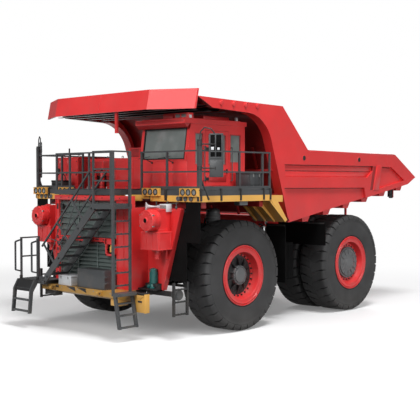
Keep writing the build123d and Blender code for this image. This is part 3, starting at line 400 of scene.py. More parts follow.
NODE_FINISH = {
    "body": (
        "radiator_frame", "fender_panels", "air_cleaners", "bed_side_left", "bed_side_right", "bed_floor",
        "cab_roof", "cab_front", "cab_rear", "cab_left", "cab_right", "cab_door", "control_cabinets",
    ),
    "shade": ("deck_supports",),
    "wall": ("bed_front_wall",),
    "canopy": ("canopy",),
    "rails": (
        "handrails", "main_stair", "step_landing", "access_ladder", "cab_floor",
        "equipment_boxes",
    ),
    "chassis": (
        "main_frame", "suspension_struts", "rear_axle_housing", "knuckle_left", "knuckle_right", "tie_rod",
        "hoist_barrel_left", "hoist_barrel_right", "side_steps",
    ),
    "rod": ("hoist_stage_left", "hoist_stage_right", "hoist_rod_left", "hoist_rod_right"),
    "edging": ("deck_edging",),
    "bumper": ("front_bumper",),
    "louvres": ("radiator_grille",),
    # The side tanks take the near-black flap finish as painted shade behind the mud flaps.
    "flap": ("mud_flaps", "side_tanks"),
    "deck": ("deck_plates",),
    "iron": ("engine_block",),
    "glass": ("cab_glass", "door_glass"),
    "plastic": ("dash_console",),
}


# ---- modelling steps ----
def mode(name):
    """Go to edit mode or back to object mode."""
    bpy.ops.object.mode_set(mode=name)


def activate(*pieces):
    """Select only these pieces, the first one active."""
    bpy.ops.object.select_all(action="DESELECT")
    for piece in pieces:
        piece.select_set(True)
    bpy.context.view_layer.objects.active = pieces[0]


def start(name):
    """Empty piece at the origin, open in edit mode."""
    bpy.ops.object.select_all(action="DESELECT")
    bpy.ops.object.add(type="MESH", location=(0, 0, 0))
    piece = bpy.context.object
    piece.name = name
    piece.data.name = name
    mode("EDIT")
    return piece


def close(piece, finish, smooth=35):
    """Leave edit mode, round the shading and give the piece its finish."""
    mode("OBJECT")
    bpy.ops.object.shade_smooth_by_angle(angle=radians(smooth))
    piece.data.materials.append(MATERIALS[finish])
    return piece


def fix(piece, body):
    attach(piece, body)
    return piece


def settle(finish, body="chassis"):
    """Close the open piece with its finish and fix it to a body."""
    return fix(close(bpy.context.object, finish), body)


def settle_pair(finish, body="chassis"):
    """Close the open left piece and fix it and its mirror image."""
    return fix_pair(close(bpy.context.object, finish), body)


def outward():
    bpy.ops.mesh.select_linked()
    bpy.ops.mesh.remove_doubles(threshold=WELD)
    bpy.ops.mesh.normals_make_consistent(inside=False)


def soften(width, segments=2):
    if width:
        bpy.ops.mesh.bevel(offset=width, segments=segments, affect="EDGES", clamp_overlap=True)


def about(middle, reach):
    """Both ends of a span round its middle."""
    return middle - reach, middle + reach


def spaced(first, step, count):
    """Places a step apart, from the first on."""
    return [first + step * i for i in range(count)]


def block(x0, x1, y0, y1, z0, z1, soft=0.004):
    """Box between two corners with softened edges."""
    middle = ((x0 + x1) / 2, (y0 + y1) / 2, (z0 + z1) / 2)
    size = (abs(x1 - x0), abs(y1 - y0), abs(z1 - z0))
    bpy.ops.mesh.primitive_cube_add(size=1, location=middle, scale=size)
    soften(soft)


def slab(x0, x1, *rest):
    """Block whose X is counted ahead of the front axle."""
    block(ahead(x0), ahead(x1), *rest)


def bar(foot, head, radius, sides=24, soft=0.0, head_radius=None):
    """Round bar or cone between two points."""
    foot, head = Vector(foot), Vector(head)
    span = head - foot
    turn = span.to_track_quat("Z", "Y").to_euler()
    bpy.ops.mesh.primitive_cone_add(
        vertices=sides, radius1=radius, radius2=radius if head_radius is None else head_radius,
        depth=span.length, location=(foot + head) / 2, rotation=turn,
    )
    soften(soft)


def pipe(points, radius, sides):
    """Round bar along a line of points."""
    for here, there in zip(points, points[1:]):
        bar(here, there, radius, sides)


def trace(points):
    """Chain of edges through the points, all selected."""
    points = [Vector(point) for point in points]
    bpy.ops.mesh.primitive_plane_add(size=0.01, location=points[0])
    bpy.ops.mesh.merge(type="CENTER")
    for here, there in zip(points, points[1:]):
        bpy.ops.mesh.extrude_region_move(TRANSFORM_OT_translate={"value": there - here})
    bpy.ops.mesh.select_linked()


def prism(points, step, soft=0.0):
    """Flat outline through the points, pushed along a step."""
    trace([*points, points[0]])
    bpy.ops.mesh.remove_doubles(threshold=WELD)
    bpy.ops.mesh.edge_face_add()
    bpy.ops.mesh.extrude_region_move(TRANSFORM_OT_translate={"value": Vector(step)})
    outward()
    soften(soft)


def side_plate(outline, y, thick, soft):
    """Upright plate along the truck, through (ahead of the front axle, height) points."""
    prism([spot(x, y, z) for x, z in outline], (0, thick, 0), soft)


def turned(profile, centre, axis, steps=48, side=None):
    """Profile of (along the axis, radius) turned about it."""
    centre, axis = Vector(centre), Vector(axis)
    if side is None:
        side = FORWARD if abs(axis.z) > 0.9 else UP
    trace([centre + axis * along + side * radius for along, radius in profile])
    bpy.ops.mesh.spin(steps=steps, angle=2 * pi, center=centre, axis=axis)
    outward()


def add_ring(centre, axis, radius, thick, steps=40, sides=10):
    """Round bar bent into a ring."""
    turn = Vector(axis).to_track_quat("Z", "Y").to_euler()
    bpy.ops.mesh.primitive_torus_add(
        major_radius=radius, minor_radius=thick, major_segments=steps, minor_segments=sides,
        location=centre, rotation=turn,
    )


def repeated(piece, count, axis="Y", centre=(0, 0, 0)):
    """The piece repeated evenly round a centre."""
    centre = Vector(centre)
    guide = bpy.data.objects.new("guide", None)
    bpy.context.scene.collection.objects.link(guide)
    turn = Matrix.Rotation(2 * pi / count, 4, axis)
    guide.matrix_world = Matrix.Translation(centre) @ turn @ Matrix.Translation(-centre)
    array = piece.modifiers.new("repeat", "ARRAY")
    array.count = count
    array.use_relative_offset = False
    array.use_object_offset = True
    array.offset_object = guide
    bpy.context.view_layer.update()
    bpy.ops.object.modifier_apply(modifier=array.name)
    bpy.data.objects.remove(guide)
    return piece


def joined(*pieces):
    """The pieces as one, under the first one's name."""
    activate(*pieces)
    bpy.ops.object.join()
    return pieces[0]


def copied(piece, name, change):
    """Copy with its own mesh, moved or mirrored in that mesh."""
    twin = piece.copy()
    twin.data = piece.data.copy()
    twin.name = name
    twin.data.name = name
    bpy.context.scene.collection.objects.link(twin)
    twin.data.transform(change)
    if change.determinant() < 0:
        activate(twin)
        mode("EDIT")
        bpy.ops.mesh.select_all(action="SELECT")
        bpy.ops.mesh.flip_normals()
        mode("OBJECT")
    return twin


MIRROR = Matrix.Scale(-1, 4, ACROSS)


def fix_pair(piece, body):
    """Fix a left piece and its mirror image."""
    twin = copied(piece, piece.name.replace("left", "right"), MIRROR)
    return fix(piece, body), fix(twin, body.replace("left", "right"))


class Maker(bpy.types.Operator):
    """Common to all operators: runs make() and reports that it finished."""

    bl_options = {"REGISTER", "UNDO"}

    def execute(self, context):
        self.make(context.scene)
        return {"FINISHED"}


# ---- wheels ----
class TRUCK_OT_finishes(Maker):
    """Give every kept part of the frame its finish"""

    bl_idname = "truck.finishes"
    bl_label = "Finishes"

    def make(self, scene):
        make_materials(scene.truck_colours)
        for finish, names in NODE_FINISH.items():
            for name in names:
                for slot in NODES[name].material_slots:
                    slot.material = MATERIALS[finish]


def tyre_casing(name):
    """Casing of a tyre round the origin: beads, bulged sidewalls, shoulders and crown."""
    piece = start(name)
    half = (
        (0.365, 0.774), (0.405, 0.8), (0.425, 0.845), (0.452, 0.875), (0.456, 0.9), (0.465, 1.0),
        (0.474, 1.12), (0.472, 1.23), (0.462, 1.325), (0.466, 1.335), (0.457, 1.352), (0.44, 1.4),
        (0.405, 1.438), (0.25, 1.445), (0.19, 1.497), (0.06, 1.5),
    )
    profile = [*half, *((-y, r) for y, r in reversed(half))]
    turned(profile, (0, 0, 0), ACROSS, 128)
    return close(piece, "tyre", 30)


def tread(name, sizes, side):
    """Ring of lugs on one shoulder, each swept round towards the middle of the crown."""
    piece = start(name)
    wide = 2 * pi * TYRE_RADIUS / sizes.lugs - sizes.lug_gap
    root = LUG_TOP - sizes.lug_rise
    section = (
        (0.012, root), (0.012, 1.512), (0.36, 1.509), (0.425, 1.495), (0.462, 1.43), (0.4705, 1.368),
        (0.463, 1.352), (0.42, 1.375),
    )
    prism([(-wide / 2, y * side, z) for y, z in section], (wide, 0, 0))
    for cut in (0.11, 0.21, 0.31):
        bpy.ops.mesh.select_all(action="SELECT")
        bpy.ops.mesh.bisect(plane_co=(0, cut * side, 0), plane_no=(0, 1, 0))
    mode("OBJECT")
    mode("EDIT")
    for inner, outer, share in ((-1, 0.06, 1.0), (0.06, 0.16, 0.78), (0.16, 0.26, 0.4), (0.26, 0.34, 0.12)):
        bpy.ops.mesh.select_all(action="DESELECT")
        mode("OBJECT")
        for corner in piece.data.vertices:
            corner.select = inner < abs(corner.co.y) <= outer
        mode("EDIT")
        bpy.ops.transform.translate(value=(sizes.sweep * share, 0, 0))
    mode("OBJECT")
    for corner in piece.data.vertices:
        corner.co.z = (corner.co.z ** 2 - corner.co.x ** 2) ** 0.5
    mode("EDIT")
    bpy.ops.mesh.select_all(action="SELECT")
    bpy.ops.mesh.normals_make_consistent(inside=False)
    soften(0.008, 1)
    close(piece, "tyre", 30)
    return repeated(piece, sizes.lugs)


class TRUCK_OT_tyres(Maker):
    """Six tyres with their casing and two rings of lugs"""

    bl_idname = "truck.tyres"
    bl_label = "Tyres"

    def make(self, scene):
        sizes = scene.truck_tyres
        near = tread("lugs_near", sizes, 1)
        far = tread("lugs_far", sizes, -1)
        far.data.transform(Matrix.Rotation(pi / sizes.lugs, 4, "Y"))
        tyre = joined(tyre_casing("tyre_front_left"), near, far)
        places = [("tyre_front_right", FRONT_AXLE, -FRONT_WHEEL_Y, "front_right_wheel", "front_tyre_right")]
        for side, way in (("left", 1), ("right", -1)):
            for row, y in (("outer", REAR_OUTER_Y), ("inner", REAR_INNER_Y)):
                bodies = (f"rear_{side}_wheels", f"rear_tyres_{side}")
                places.append((f"tyre_rear_{side}_{row}", REAR_AXLE, way * y, *bodies))
        for name, x, y, body, node in places:
            change = Matrix.Translation((x, y, HUB_Z)) @ (MIRROR if y < 0 else Matrix.Identity(4))
            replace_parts(fix(copied(tyre, name, change), body), node)
        tyre.data.transform(Matrix.Translation((FRONT_AXLE, FRONT_WHEEL_Y, HUB_Z)))
        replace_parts(fix(tyre, "front_left_wheel"), "front_tyre_left")


def bolt_ring(name, finish, count, radius, along, head, high):
    """Hexagonal bolt heads with washers round the wheels' axis."""
    piece = start(name)
    bar((0, along - 0.004, radius), (0, along + high * 0.25, radius), head * 1.35, 16)
    bar((0, along, radius), (0, along + high, radius), head, 6, 0.002)
    close(piece, finish)
    return repeated(piece, count)


def lipped_rim(name, dish):
    """Flange, lock ring and gutter of a rim, followed by its dish."""
    piece = start(name)
    lip = (
        (0.3, 0.767), (0.412, 0.767), (0.424, 0.795), (0.428, 0.822), (0.44, 0.829), (0.452, 0.826),
        (0.46, 0.812), (0.457, 0.798), (0.44, 0.792), (0.434, 0.785), (0.44, 0.777), (0.456, 0.77),
        (0.459, 0.755), (0.455, 0.742), (0.446, 0.736), (0.444, 0.7),
    )
    turned([*lip, *dish], (0, 0, 0), ACROSS, 128)
    return close(piece, "body", 30)


class TRUCK_OT_front_rims(Maker):
    """Front rims: deep dish, gusseted disc, ring of bolts and grey hub cap"""

    bl_idname = "truck.front_rims"
    bl_label = "Front rims"

    def make(self, scene):
        sizes = scene.truck_rims
        dish = (
            (0.436, 0.652), (0.424, 0.64), (0.36, 0.628), (0.25, 0.6), (0.22, 0.585), (0.22, 0.55),
            (0.18, 0.54),
        )
        rim = lipped_rim("rim_front_left", dish)
        disc = start("disc_front_left")
        back = ((0.195, 0.56), (0.195, 0.3), (0.21, 0.27), (0.21, 0.2))
        turned(back, (0, 0, 0), ACROSS, 64)
        close(disc, "chassis")
        gusset = start("gusset")
        web = [(-0.012, 0.19, 0.53), (-0.012, 0.19, 0.24), (-0.012, 0.325, 0.24), (-0.012, 0.3, 0.3)]
        prism(web, (0.024, 0, 0), 0.004)
        close(gusset, "chassis")
        gussets = repeated(gusset, sizes.gussets)
        slug = start("slot_rim")
        add_ring((0, 0.2, 0.42), ACROSS, 0.055, 0.01, 20, 6)
        close(slug, "chassis")
        slugs = repeated(slug, sizes.gussets)
        slugs.data.transform(Matrix.Rotation(pi / sizes.gussets, 4, "Y"))
        disc = joined(disc, gussets, slugs)
        hub = start("hub_front_left")
        cap = (
            (0.2, 0.272), (0.3, 0.268), (0.318, 0.255), (0.32, 0.238), (0.306, 0.225), (0.304, 0.212),
            (0.328, 0.206), (0.34, 0.19), (0.346, 0.13), (0.348, 0),
        )
        turned(cap, (0, 0, 0), ACROSS, 64)
        close(hub, "hub")
        hub = joined(hub, bolt_ring("cap_bolts", "hub", 12, 0.236, 0.318, 0.01, 0.014))
        nuts = bolt_ring("nuts_front_left", "chassis", sizes.bolts, 0.568, 0.218, sizes.bolt_radius, 0.045)
        place_wheels((rim, disc, hub, nuts), "front", FRONT_AXLE, FRONT_WHEEL_Y, "wheel")


def place_wheels(pieces, row, x, y, word):
    """Put the left wheel's pieces in place and mirrored copies on the right."""
    slots = ("body_red", "dark_steel", "dark_steel", "dark_steel")
    there = Matrix.Translation((x, y, HUB_Z))
    for piece, slot in zip(pieces, slots):
        piece.data.transform(there)
        twin = copied(piece, piece.name.replace("left", "right"), MIRROR)
        for part, side in ((piece, "left"), (twin, "right")):
            fix(part, f"{row}_{side}_{word}")
            if part.name.startswith("rim"):
                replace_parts(part, f"{row}_rim_{side}")


class TRUCK_OT_rear_rims(Maker):
    """Rear rims: lock ring, shallow dish and the bolted cover of the wheel motor"""

    bl_idname = "truck.rear_rims"
    bl_label = "Rear rims"

    def make(self, scene):
        sizes = scene.truck_rims
        dish = (
            (0.436, 0.662), (0.424, 0.65), (0.37, 0.64), (0.29, 0.61), (0.27, 0.6), (0.27, 0.49),
            (0.28, 0.485),
        )
        rim = lipped_rim("rim_rear_left", dish)
        cover = start("cover_rear_left")
        face = (
            (0.27, 0.5), (0.325, 0.495), (0.34, 0.48), (0.34, 0.462), (0.318, 0.45), (0.318, 0.432),
            (0.35, 0.422), (0.352, 0.28), (0.362, 0.265), (0.372, 0.24), (0.372, 0.15), (0.384, 0.135),
            (0.384, 0),
        )
        turned(face, (0, 0, 0), ACROSS, 64)
        close(cover, "hub")
        rib = start("rib")
        web = [(-0.014, 0.345, 0.415), (-0.014, 0.345, 0.27), (-0.014, 0.376, 0.26), (-0.014, 0.366, 0.415)]
        prism(web, (0.028, 0, 0), 0.004)
        close(rib, "hub")
        ribs = repeated(rib, 12)
        cover = joined(cover, ribs, bolt_ring("cover_bolts", "hub", 12, 0.2, 0.37, 0.012, 0.016))
        nuts = bolt_ring("nuts_rear_left", "chassis", sizes.bolts, 0.545, 0.27, sizes.bolt_radius, 0.035)
        band = start("spacer_rear_left")
        turned(((-0.6, 0.6), (-0.6, 0.767), (-0.44, 0.767), (-0.44, 0.6)), (0, 0, 0), ACROSS, 96)
        close(band, "chassis")
        place_wheels((rim, cover, nuts, band), "rear", REAR_AXLE, REAR_OUTER_Y, "wheels")


# ---- front end ----
class TRUCK_OT_deck_lamps(Maker):
    """Round working lamps in the boxes on the decks' front edges, and smaller ones under the edge"""

    bl_idname = "truck.deck_lamps"
    bl_label = "Deck lamps"

    def make(self, scene):
        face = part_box("lamp_lenses")[0].x
        z = (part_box("lamp_lenses")[0].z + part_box("lamp_lenses")[1].z) / 2
        starts = ((1, 1.42), (1, 2.83), (-1, 1.62), (-1, 2.83))
        middles = [side * (inner + 0.31 + 0.2 * i) for side, inner in starts for i in (-1, 0, 1)]
        start("deck_lamp_bezels")
        rim = (
            (-0.03, 0.082), (0.012, 0.082), (0.018, 0.076), (0.018, 0.066), (-0.01, 0.058), (-0.03, 0.02),
            (-0.03, 0),
        )
        for y in middles:
            turned(rim, (face, y, z), FORWARD, 24)
            block(face - 0.02, face + 0.006, *about(y, 0.012), z + 0.072, z + 0.095, 0.002)
        settle("seal", "chassis")
        start("deck_lamp_glass")
        for y in middles:
            dome = ((-0.02, 0), (-0.006, 0.062), (0.004, 0.062), (0.01, 0.04), (0.013, 0))
            turned(dome, (face, y, z), FORWARD, 24)
        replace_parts(settle("lamp"), "lamp_lenses")
        start("deck_lamp_cages")
        top, foot = z + 0.105, z - 0.105
        for side, inner in starts:
            y0, y1 = sorted((side * (inner + 0.002), side * (inner + 0.618)))
            block(face - 0.015, face + 0.014, y0, y1, top - 0.012, top, 0.002)
            block(face - 0.015, face + 0.014, y0, y1, foot, foot + 0.012, 0.002)
            for y in (y0, y0 + 0.205, y1 - 0.217, y1 - 0.012):
                block(face - 0.015, face + 0.014, y, y + 0.012, foot, top, 0.002)
        settle("edging")
        self.edge_lamps()

    def edge_lamps(self):
        x = ahead(2.2)
        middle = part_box("deck_plates")[0].z - 0.08
        start("edge_lamps")
        for side in BOTH:
            for along in (2.7, 2.96, 3.16):
                cup = ((0, 0.062), (0.03, 0.062), (0.036, 0.055), (0.03, 0.046), (0.012, 0.04), (0.012, 0))
                turned(cup, (x, side * along, middle), FORWARD, 20)
        settle("hub")
        start("edge_brackets")
        for side in BOTH:
            for along in (1.7, 3.36):
                block(x, x + 0.035, *about(side * along, 0.03), 3.58, 3.83)
            block(x - 0.03, x + 0.012, side * 0.76, side * 1.31, 3.56, 3.725, 0.006)
            block(x - 0.03, x + 0.012, side * 1.3, side * 1.62, 3.62, 3.7, 0.006)
        settle("edging")


class TRUCK_OT_radiator(Maker):
    """Stiles, frame bolts, notched post, slotted beam and the hood bracket of the radiator"""

    bl_idname = "truck.radiator"
    bl_label = "Radiator trim"

    def make(self, scene):
        low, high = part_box("radiator_frame")
        face, half = high.x, high.y
        louvre_low, louvre_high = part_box("radiator_grille")
        right, left = louvre_low.y, louvre_high.y
        start("grille_stiles")
        x = louvre_high.x
        for y in (right + 0.012, -0.62, 0.2, left - 0.012):
            for foot, head in ((louvre_low.z, 2.45), (2.56, louvre_high.z)):
                block(x - 0.02, x + 0.004, *about(y, 0.012), foot, head, 0.003)
        settle("louvres")
        start("radiator_trim")
        for y in (-half + 0.012, right - 0.012, left + 0.012, left + 0.27, half - 0.012):
            block(face, face + 0.018, *about(y, 0.012), low.z, high.z, 0.003)
        for z in (2.465, 2.545):
            block(face, face + 0.022, right, left, *about(z, 0.01), 0.003)
        block(face, face + 0.05, -half, half, 3.58, 3.7, 0.008)
        settle("body")
        start("radiator_slots")
        for z in spaced(1.45, 0.17, 9):
            block(face - 0.03, face + 0.004, -half + 0.05, -half + 0.12, z, z + 0.09)
        for y in spaced(right + 0.16, 0.3, 8):
            block(face - 0.03, face + 0.004, *about(y, 0.06), 2.488, 2.522)
        for y in spaced(-1.3, 0.36, 8):
            bar((face + 0.045, y, 3.64), (face + 0.054, y, 3.64), 0.02, 6)
        block(face - 0.03, face + 0.006, -half + 0.05, -half + 0.13, 3.3, 3.46)
        block(face - 0.03, face + 0.026, -half + 0.24, -half + 0.34, 3.32, 3.46)
        settle("chassis")
        self.hood_bracket(face, left)

    def hood_bracket(self, face, left):
        """Thick frame round a deep opening, with the valve block that it guards."""
        y0, y1, z0, z1 = left - 0.44, left - 0.01, 2.1, 2.56
        x1 = face + 0.07
        start("valve_guard")
        block(face - 0.02, x1, y0, y1, z1 - 0.15, z1, 0.006)
        block(face - 0.02, x1, y0 + 0.04, y1, z0, z0 + 0.06, 0.006)
        for edge in (y0 + 0.04, y1 - 0.06):
            block(face - 0.02, x1, edge, edge + 0.06, z0, z1, 0.006)
        settle("body")
        start("valve_hollow")
        block(face - 0.03, face + 0.012, y0 + 0.09, y1 - 0.05, z0 + 0.05, z1 - 0.14, 0.003)
        for y in (y0 + 0.13, y1 - 0.2):
            bar((face, y, z0 + 0.17), (face + 0.05, y, z0 + 0.17), 0.025, 16, 0.004)
        settle("flap")
        start("guarded_valve")
        y = (y0 + y1) / 2 + 0.03
        block(face + 0.01, face + 0.055, *about(y, 0.035), z0 + 0.1, z0 + 0.25, 0.008)
        bar((face + 0.03, y, z0 + 0.24), (face + 0.03, y, z0 + 0.3), 0.02, 16, 0.003)
        settle("edging")


class TRUCK_OT_air_cleaners(Maker):
    """Bands, dished end cap, latches and dust cone of the two air cleaners"""

    bl_idname = "truck.air_cleaners"
    bl_label = "Air cleaners"

    def make(self, scene):
        x, y, z = ahead(2.96), 2.323, 3.09
        drum = start("air_cleaner_left")
        cap = (
            (-0.02, 0.272), (0.012, 0.272), (0.024, 0.262), (0.03, 0.245), (0.022, 0.235), (0.022, 0.2),
            (0.034, 0.19), (0.037, 0.12), (0.04, 0.085), (0.066, 0.082), (0.072, 0.074), (0.068, 0.062),
            (0.057, 0.058),
        )
        turned(cap, (x, y, z), FORWARD, 64)
        for back in (0.05, 0.19):
            band = ((-back, 0.2695), (-back, 0.279), (-back + 0.03, 0.279), (-back + 0.03, 0.2695))
            turned(band, (x, y, z), FORWARD, 64)
        close(drum, "body")
        rib = start("end_rib")
        block(x + 0.02, x + 0.034, *about(y, 0.008), z + 0.19, z + 0.24, 0.003)
        close(rib, "body")
        ribs = repeated(rib, 16, "X", centre=(x, y, z))
        box = start("precleaner")
        rear, front = ahead(2.25), ahead(2.79)
        for z0 in (2.33, 2.76):
            block(rear, front + 0.012, 1.914, 2.576, z0, z0 + 0.03)
        for y0 in (1.93, 2.11, 2.34, 2.55):
            block(front - 0.002, front + 0.009, *about(y0, 0.01), 2.36, 2.76, 0.003)
        for x0 in (rear + 0.1, front - 0.06):
            block(x0, x0 + 0.02, 2.568, 2.578, 2.36, 2.76, 0.003)
        for z0 in (2.84, 3.34):
            block(rear, ahead(2.722), 2.475, 2.487, z0, z0 + 0.02, 0.003)
        spout = (
            (0, 0), (0, 0.15), (0.02, 0.152), (0.04, 0.14), (0.11, 0.078), (0.13, 0.068), (0.24, 0.064),
            (0.24, 0),
        )
        at = (ahead(2.52), 2.245)
        turned(spout, (*at, 2.335), -UP, 40)
        bar((*at, 2.12), (*at, 2.085), 0.074, 24, 0.004)
        slab(2.27, 2.37, 2.36, 2.42, 2.08, 2.34, 0.006)
        close(box, "body")
        left = joined(drum, ribs, box)
        latch = start("cleaner_latches_left")
        block(x - 0.045, x + 0.028, *about(y, 0.014), z + 0.272, z + 0.289, 0.003)
        close(latch, "steel")
        latches = repeated(latch, 6, "X", centre=(x, y, z))
        eye = start("cleaner_eye_left")
        turned(((0, 0), (0, 0.06), (0.058, 0.06), (0.06, 0)), (x, y, z), FORWARD, 32)
        close(eye, "flap")
        for piece, slot in ((left, "body_red"), (latches, "dark_steel"), (eye, "dark_steel")):
            twin = copied(piece, piece.name.replace("left", "right"), MIRROR)
            fix(piece, "chassis")
            fix(twin, "chassis")


class TRUCK_OT_front_fittings(Maker):
    """Battery box, front panel, grease pump, tool box, horn and small lamps of the front end"""

    bl_idname = "truck.front_fittings"
    bl_label = "Front fittings"

    def make(self, scene):
        self.battery_box()
        self.panel_and_roller()
        self.pump()
        self.side_boxes()
        self.horn()

    def battery_box(self):
        x0, x1, y0, y1, z0, z1 = ahead(2.893), ahead(3.307), -0.897, -0.333, 1.243, 1.517
        start("battery_box")
        block(x0, x1, y0, y1, z0, z1 - 0.05, 0.012)
        block(x0 - 0.004, x1 + 0.006, y0 - 0.006, y1 + 0.006, z1 - 0.055, z1, 0.014)
        block(x1, x1 + 0.006, y0 + 0.06, y1 - 0.06, z0 + 0.04, z1 - 0.09)
        settle("box")
        start("battery_latches")
        for y in (y0 + 0.13, y1 - 0.13):
            block(x1 + 0.004, x1 + 0.016, *about(y, 0.02), z1 - 0.1, z1 - 0.03)
        settle("steel")

    def panel_and_roller(self):
        x1 = ahead(3.3)
        start("front_panel")
        block(x1 - 0.006, x1 + 0.008, -0.055, 1.075, 1.245, 1.755, 0.006)
        block(x1 - 0.2, x1 + 0.004, -0.062, -0.05, 1.25, 1.75)
        for y, z in ((0, 1.3), (0, 1.7), (1.02, 1.3), (1.02, 1.7)):
            bar((x1, y, z), (x1 + 0.016, y, z), 0.014, 6)
        for z in (1.42, 1.58):
            block(x1 - 0.1, x1 + 0.03, 1.075, 1.13, *about(z, 0.02), 0.005)
        settle("rails")
        start("tow_roller")
        y0, y1 = -1.3, -0.86
        axle = (ahead(3.39), 1.02)
        bar((axle[0], y0, axle[1]), (axle[0], y1, axle[1]), 0.055, 24, 0.006)
        for y in (y0, y1):
            block(ahead(3.2), axle[0] + 0.06, *about(y, 0.012), *about(axle[1], 0.07), 0.006)
        for y in (-0.28, 0.18):
            tip = ((-0.2, 1.235), (0.16, 1.235), (0.2, 1.12))
            prism([spot(3.352, y + dy, z) for dy, z in tip], (0.012, 0, 0), 0.003)
        slab(3.34, 3.36, -0.95, -0.82, 1.17, 1.23)
        settle("chassis")
        start("bumper_bolts")
        for y in spaced(-1.36, 0.34, 9):
            bar(spot(3.35, y, 1.19), spot(3.362, y, 1.19), 0.018, 6)
        settle("steel")

    def pump(self):
        x, y = ahead(2.35), 1.92
        pump = start("grease_pump")
        body = (
            (0, 0), (0, 0.165), (0.03, 0.165), (0.045, 0.135), (0.1, 0.125), (0.12, 0.094), (0.45, 0.094),
            (0.46, 0.102), (0.49, 0.102), (0.5, 0.085), (0.52, 0.04), (0.52, 0),
        )
        turned(body, (x, y, 1.3), UP, 40)
        for z in (1.43, 1.72):
            add_ring((x, y, z), UP, 0.096, 0.006, 40, 6)
        bar((x, y, 1.37), (x, y + 0.19, 1.37), 0.05, 16, 0.004)
        bar((x, y, 1.36), (x + 0.2, y, 1.36), 0.045, 16, 0.004)
        close(pump, "pump")
        fin = start("pump_fin")
        block(x + 0.088, x + 0.108, *about(y, 0.004), 1.44, 1.71, 0.002)
        close(fin, "pump")
        fins = repeated(fin, 16, "Z", centre=(x, y, 0))
        fix(joined(pump, fins), "chassis")
        start("pump_shelf")
        block(x - 0.22, x + 0.26, 1.6, y + 0.26, 1.262, 1.3)
        for at in (y - 0.24, y + 0.24):
            prism([(x - 0.2, at, 1.3), (x + 0.18, at, 1.3), (x - 0.2, at, 1.52)], (0, 0.02, 0), 0.003)
        block(x - 0.16, x + 0.1, *about(y, 0.22), 1.3, 1.42, 0.02)
        settle("chassis")

    def side_boxes(self):
        """Step box and lamp box under the end of the front beam."""
        start("step_box")
        x0, x1, y0, y1, z0, z1 = ahead(2.8), ahead(2.96), 1.88, 2.24, 0.72, 1.2
        block(x0, x1, y0, y1, z0, z1 - 0.05, 0.012)
        block(x0 - 0.006, x1 + 0.008, y0 - 0.008, y0 + 0.012, z0 - 0.006, z1)
        block(x0 - 0.006, x1 + 0.008, y1 - 0.012, y1 + 0.008, z0 - 0.006, z1)
        chevron = ((y0, z1 - 0.03), (y1, z1 - 0.03), ((y0 + y1) / 2, z1 - 0.16))
        prism([(x1, y, z) for y, z in chevron], (0.012, 0, 0), 0.003)
        block(x1 - 0.004, x1 + 0.012, y0 + 0.1, y1 - 0.1, z0 + 0.24, z0 + 0.255, 0.003)
        block(x1 - 0.004, x1 + 0.012, y0 + 0.1, y1 - 0.1, z0 + 0.31, z0 + 0.325, 0.003)
        slab(2.9, 3.25, 1.25, 1.55, 0.86, 1.06, 0.012)
        settle("edging")
        start("step_box_slots")
        block(*about(x1, 0.004), y0 + 0.1, y1 - 0.1, z0 + 0.258, z0 + 0.307, 0.003)
        block(x0 + 0.02, x1 - 0.02, y0 + 0.02, y1 - 0.02, z1 - 0.06, z1 + 0.03, 0.006)
        slab(2.66, 2.96, 1.4, 1.72, 1.14, 1.2, 0.006)
        block(x0, x1, 1.5, y1, z1 - 0.01, z1 + 0.03, 0.006)
        settle("chassis")
        start("side_beam_end")
        drum = ((0, 0), (0, 0.13), (0.03, 0.14), (0.16, 0.14), (0.19, 0.12), (0.2, 0))
        turned(drum, spot(2.24, 2.6, 1.17), ACROSS, 32)
        slab(2.17, 2.31, 1.62, 1.7, 1.08, 1.26, 0.006)
        settle("rails")

    def horn(self):
        """Trumpet horn and the work lamp beside it, hung under the deck's front edge."""
        x, y = ahead(2.24), 1.72
        start("horn")
        bell = (
            (-0.24, 0), (-0.24, 0.028), (-0.14, 0.026), (-0.05, 0.034), (0.02, 0.055), (0.07, 0.1),
            (0.085, 0.125), (0.078, 0.128), (0.055, 0.095), (0.01, 0.045), (-0.05, 0.022), (-0.05, 0),
        )
        turn = Vector((0.82, -0.57, 0))
        mouth = Vector((x + 0.14, y + 0.06, 3.42))
        turned(bell, mouth, turn, 32)
        bar(mouth - turn * 0.22, mouth - turn * 0.34, 0.05, 20, 0.008)
        block(x + 0.02, x + 0.2, y + 0.52, y + 0.8, 3.3, 3.5, 0.012)
        settle("box")
        start("horn_mounts")
        bar((x, y + 0.2, 3.46), (x, y + 0.2, 3.57), 0.02, 12, 0.003)
        bar((x - 0.06, y + 0.1, 3.46), (x + 0.06, y + 1.06, 3.53), 0.012, 8)
        bar((x + 0.1, y + 0.66, 3.49), (x + 0.02, y + 0.66, 3.57), 0.016, 8)
        bar((x + 0.06, y + 1.0, 3.4), (x + 0.06, y + 1.0, 3.55), 0.012, 8)
        bar((x + 0.02, y + 0.96, 3.4), (x + 0.1, y + 1.04, 3.42), 0.03, 12, 0.004)
        settle("rails")
        start("front_work_lamp")
        block(x + 0.196, x + 0.206, y + 0.545, y + 0.775, 3.325, 3.475, 0.006)
        settle("lamp")


# ---- cab ----
def add_seal(y, side, low, high, wide=0.016):
    """Rubber frame round an upright opening in a side wall."""
    out = y + side * 0.006
    (x0, z0), (x1, z1) = low, high
    for xa, xb, za, zb in (
        (x0 - wide, x1 + wide, z0 - wide, z0 + 0.008), (x0 - wide, x1 + wide, z1 - 0.008, z1 + wide),
        (x0 - wide, x0 + 0.008, z0, z1), (x1 - 0.008, x1 + wide, z0, z1),
    ):
        block(xa, xb, y - side * 0.03, out, za, zb)


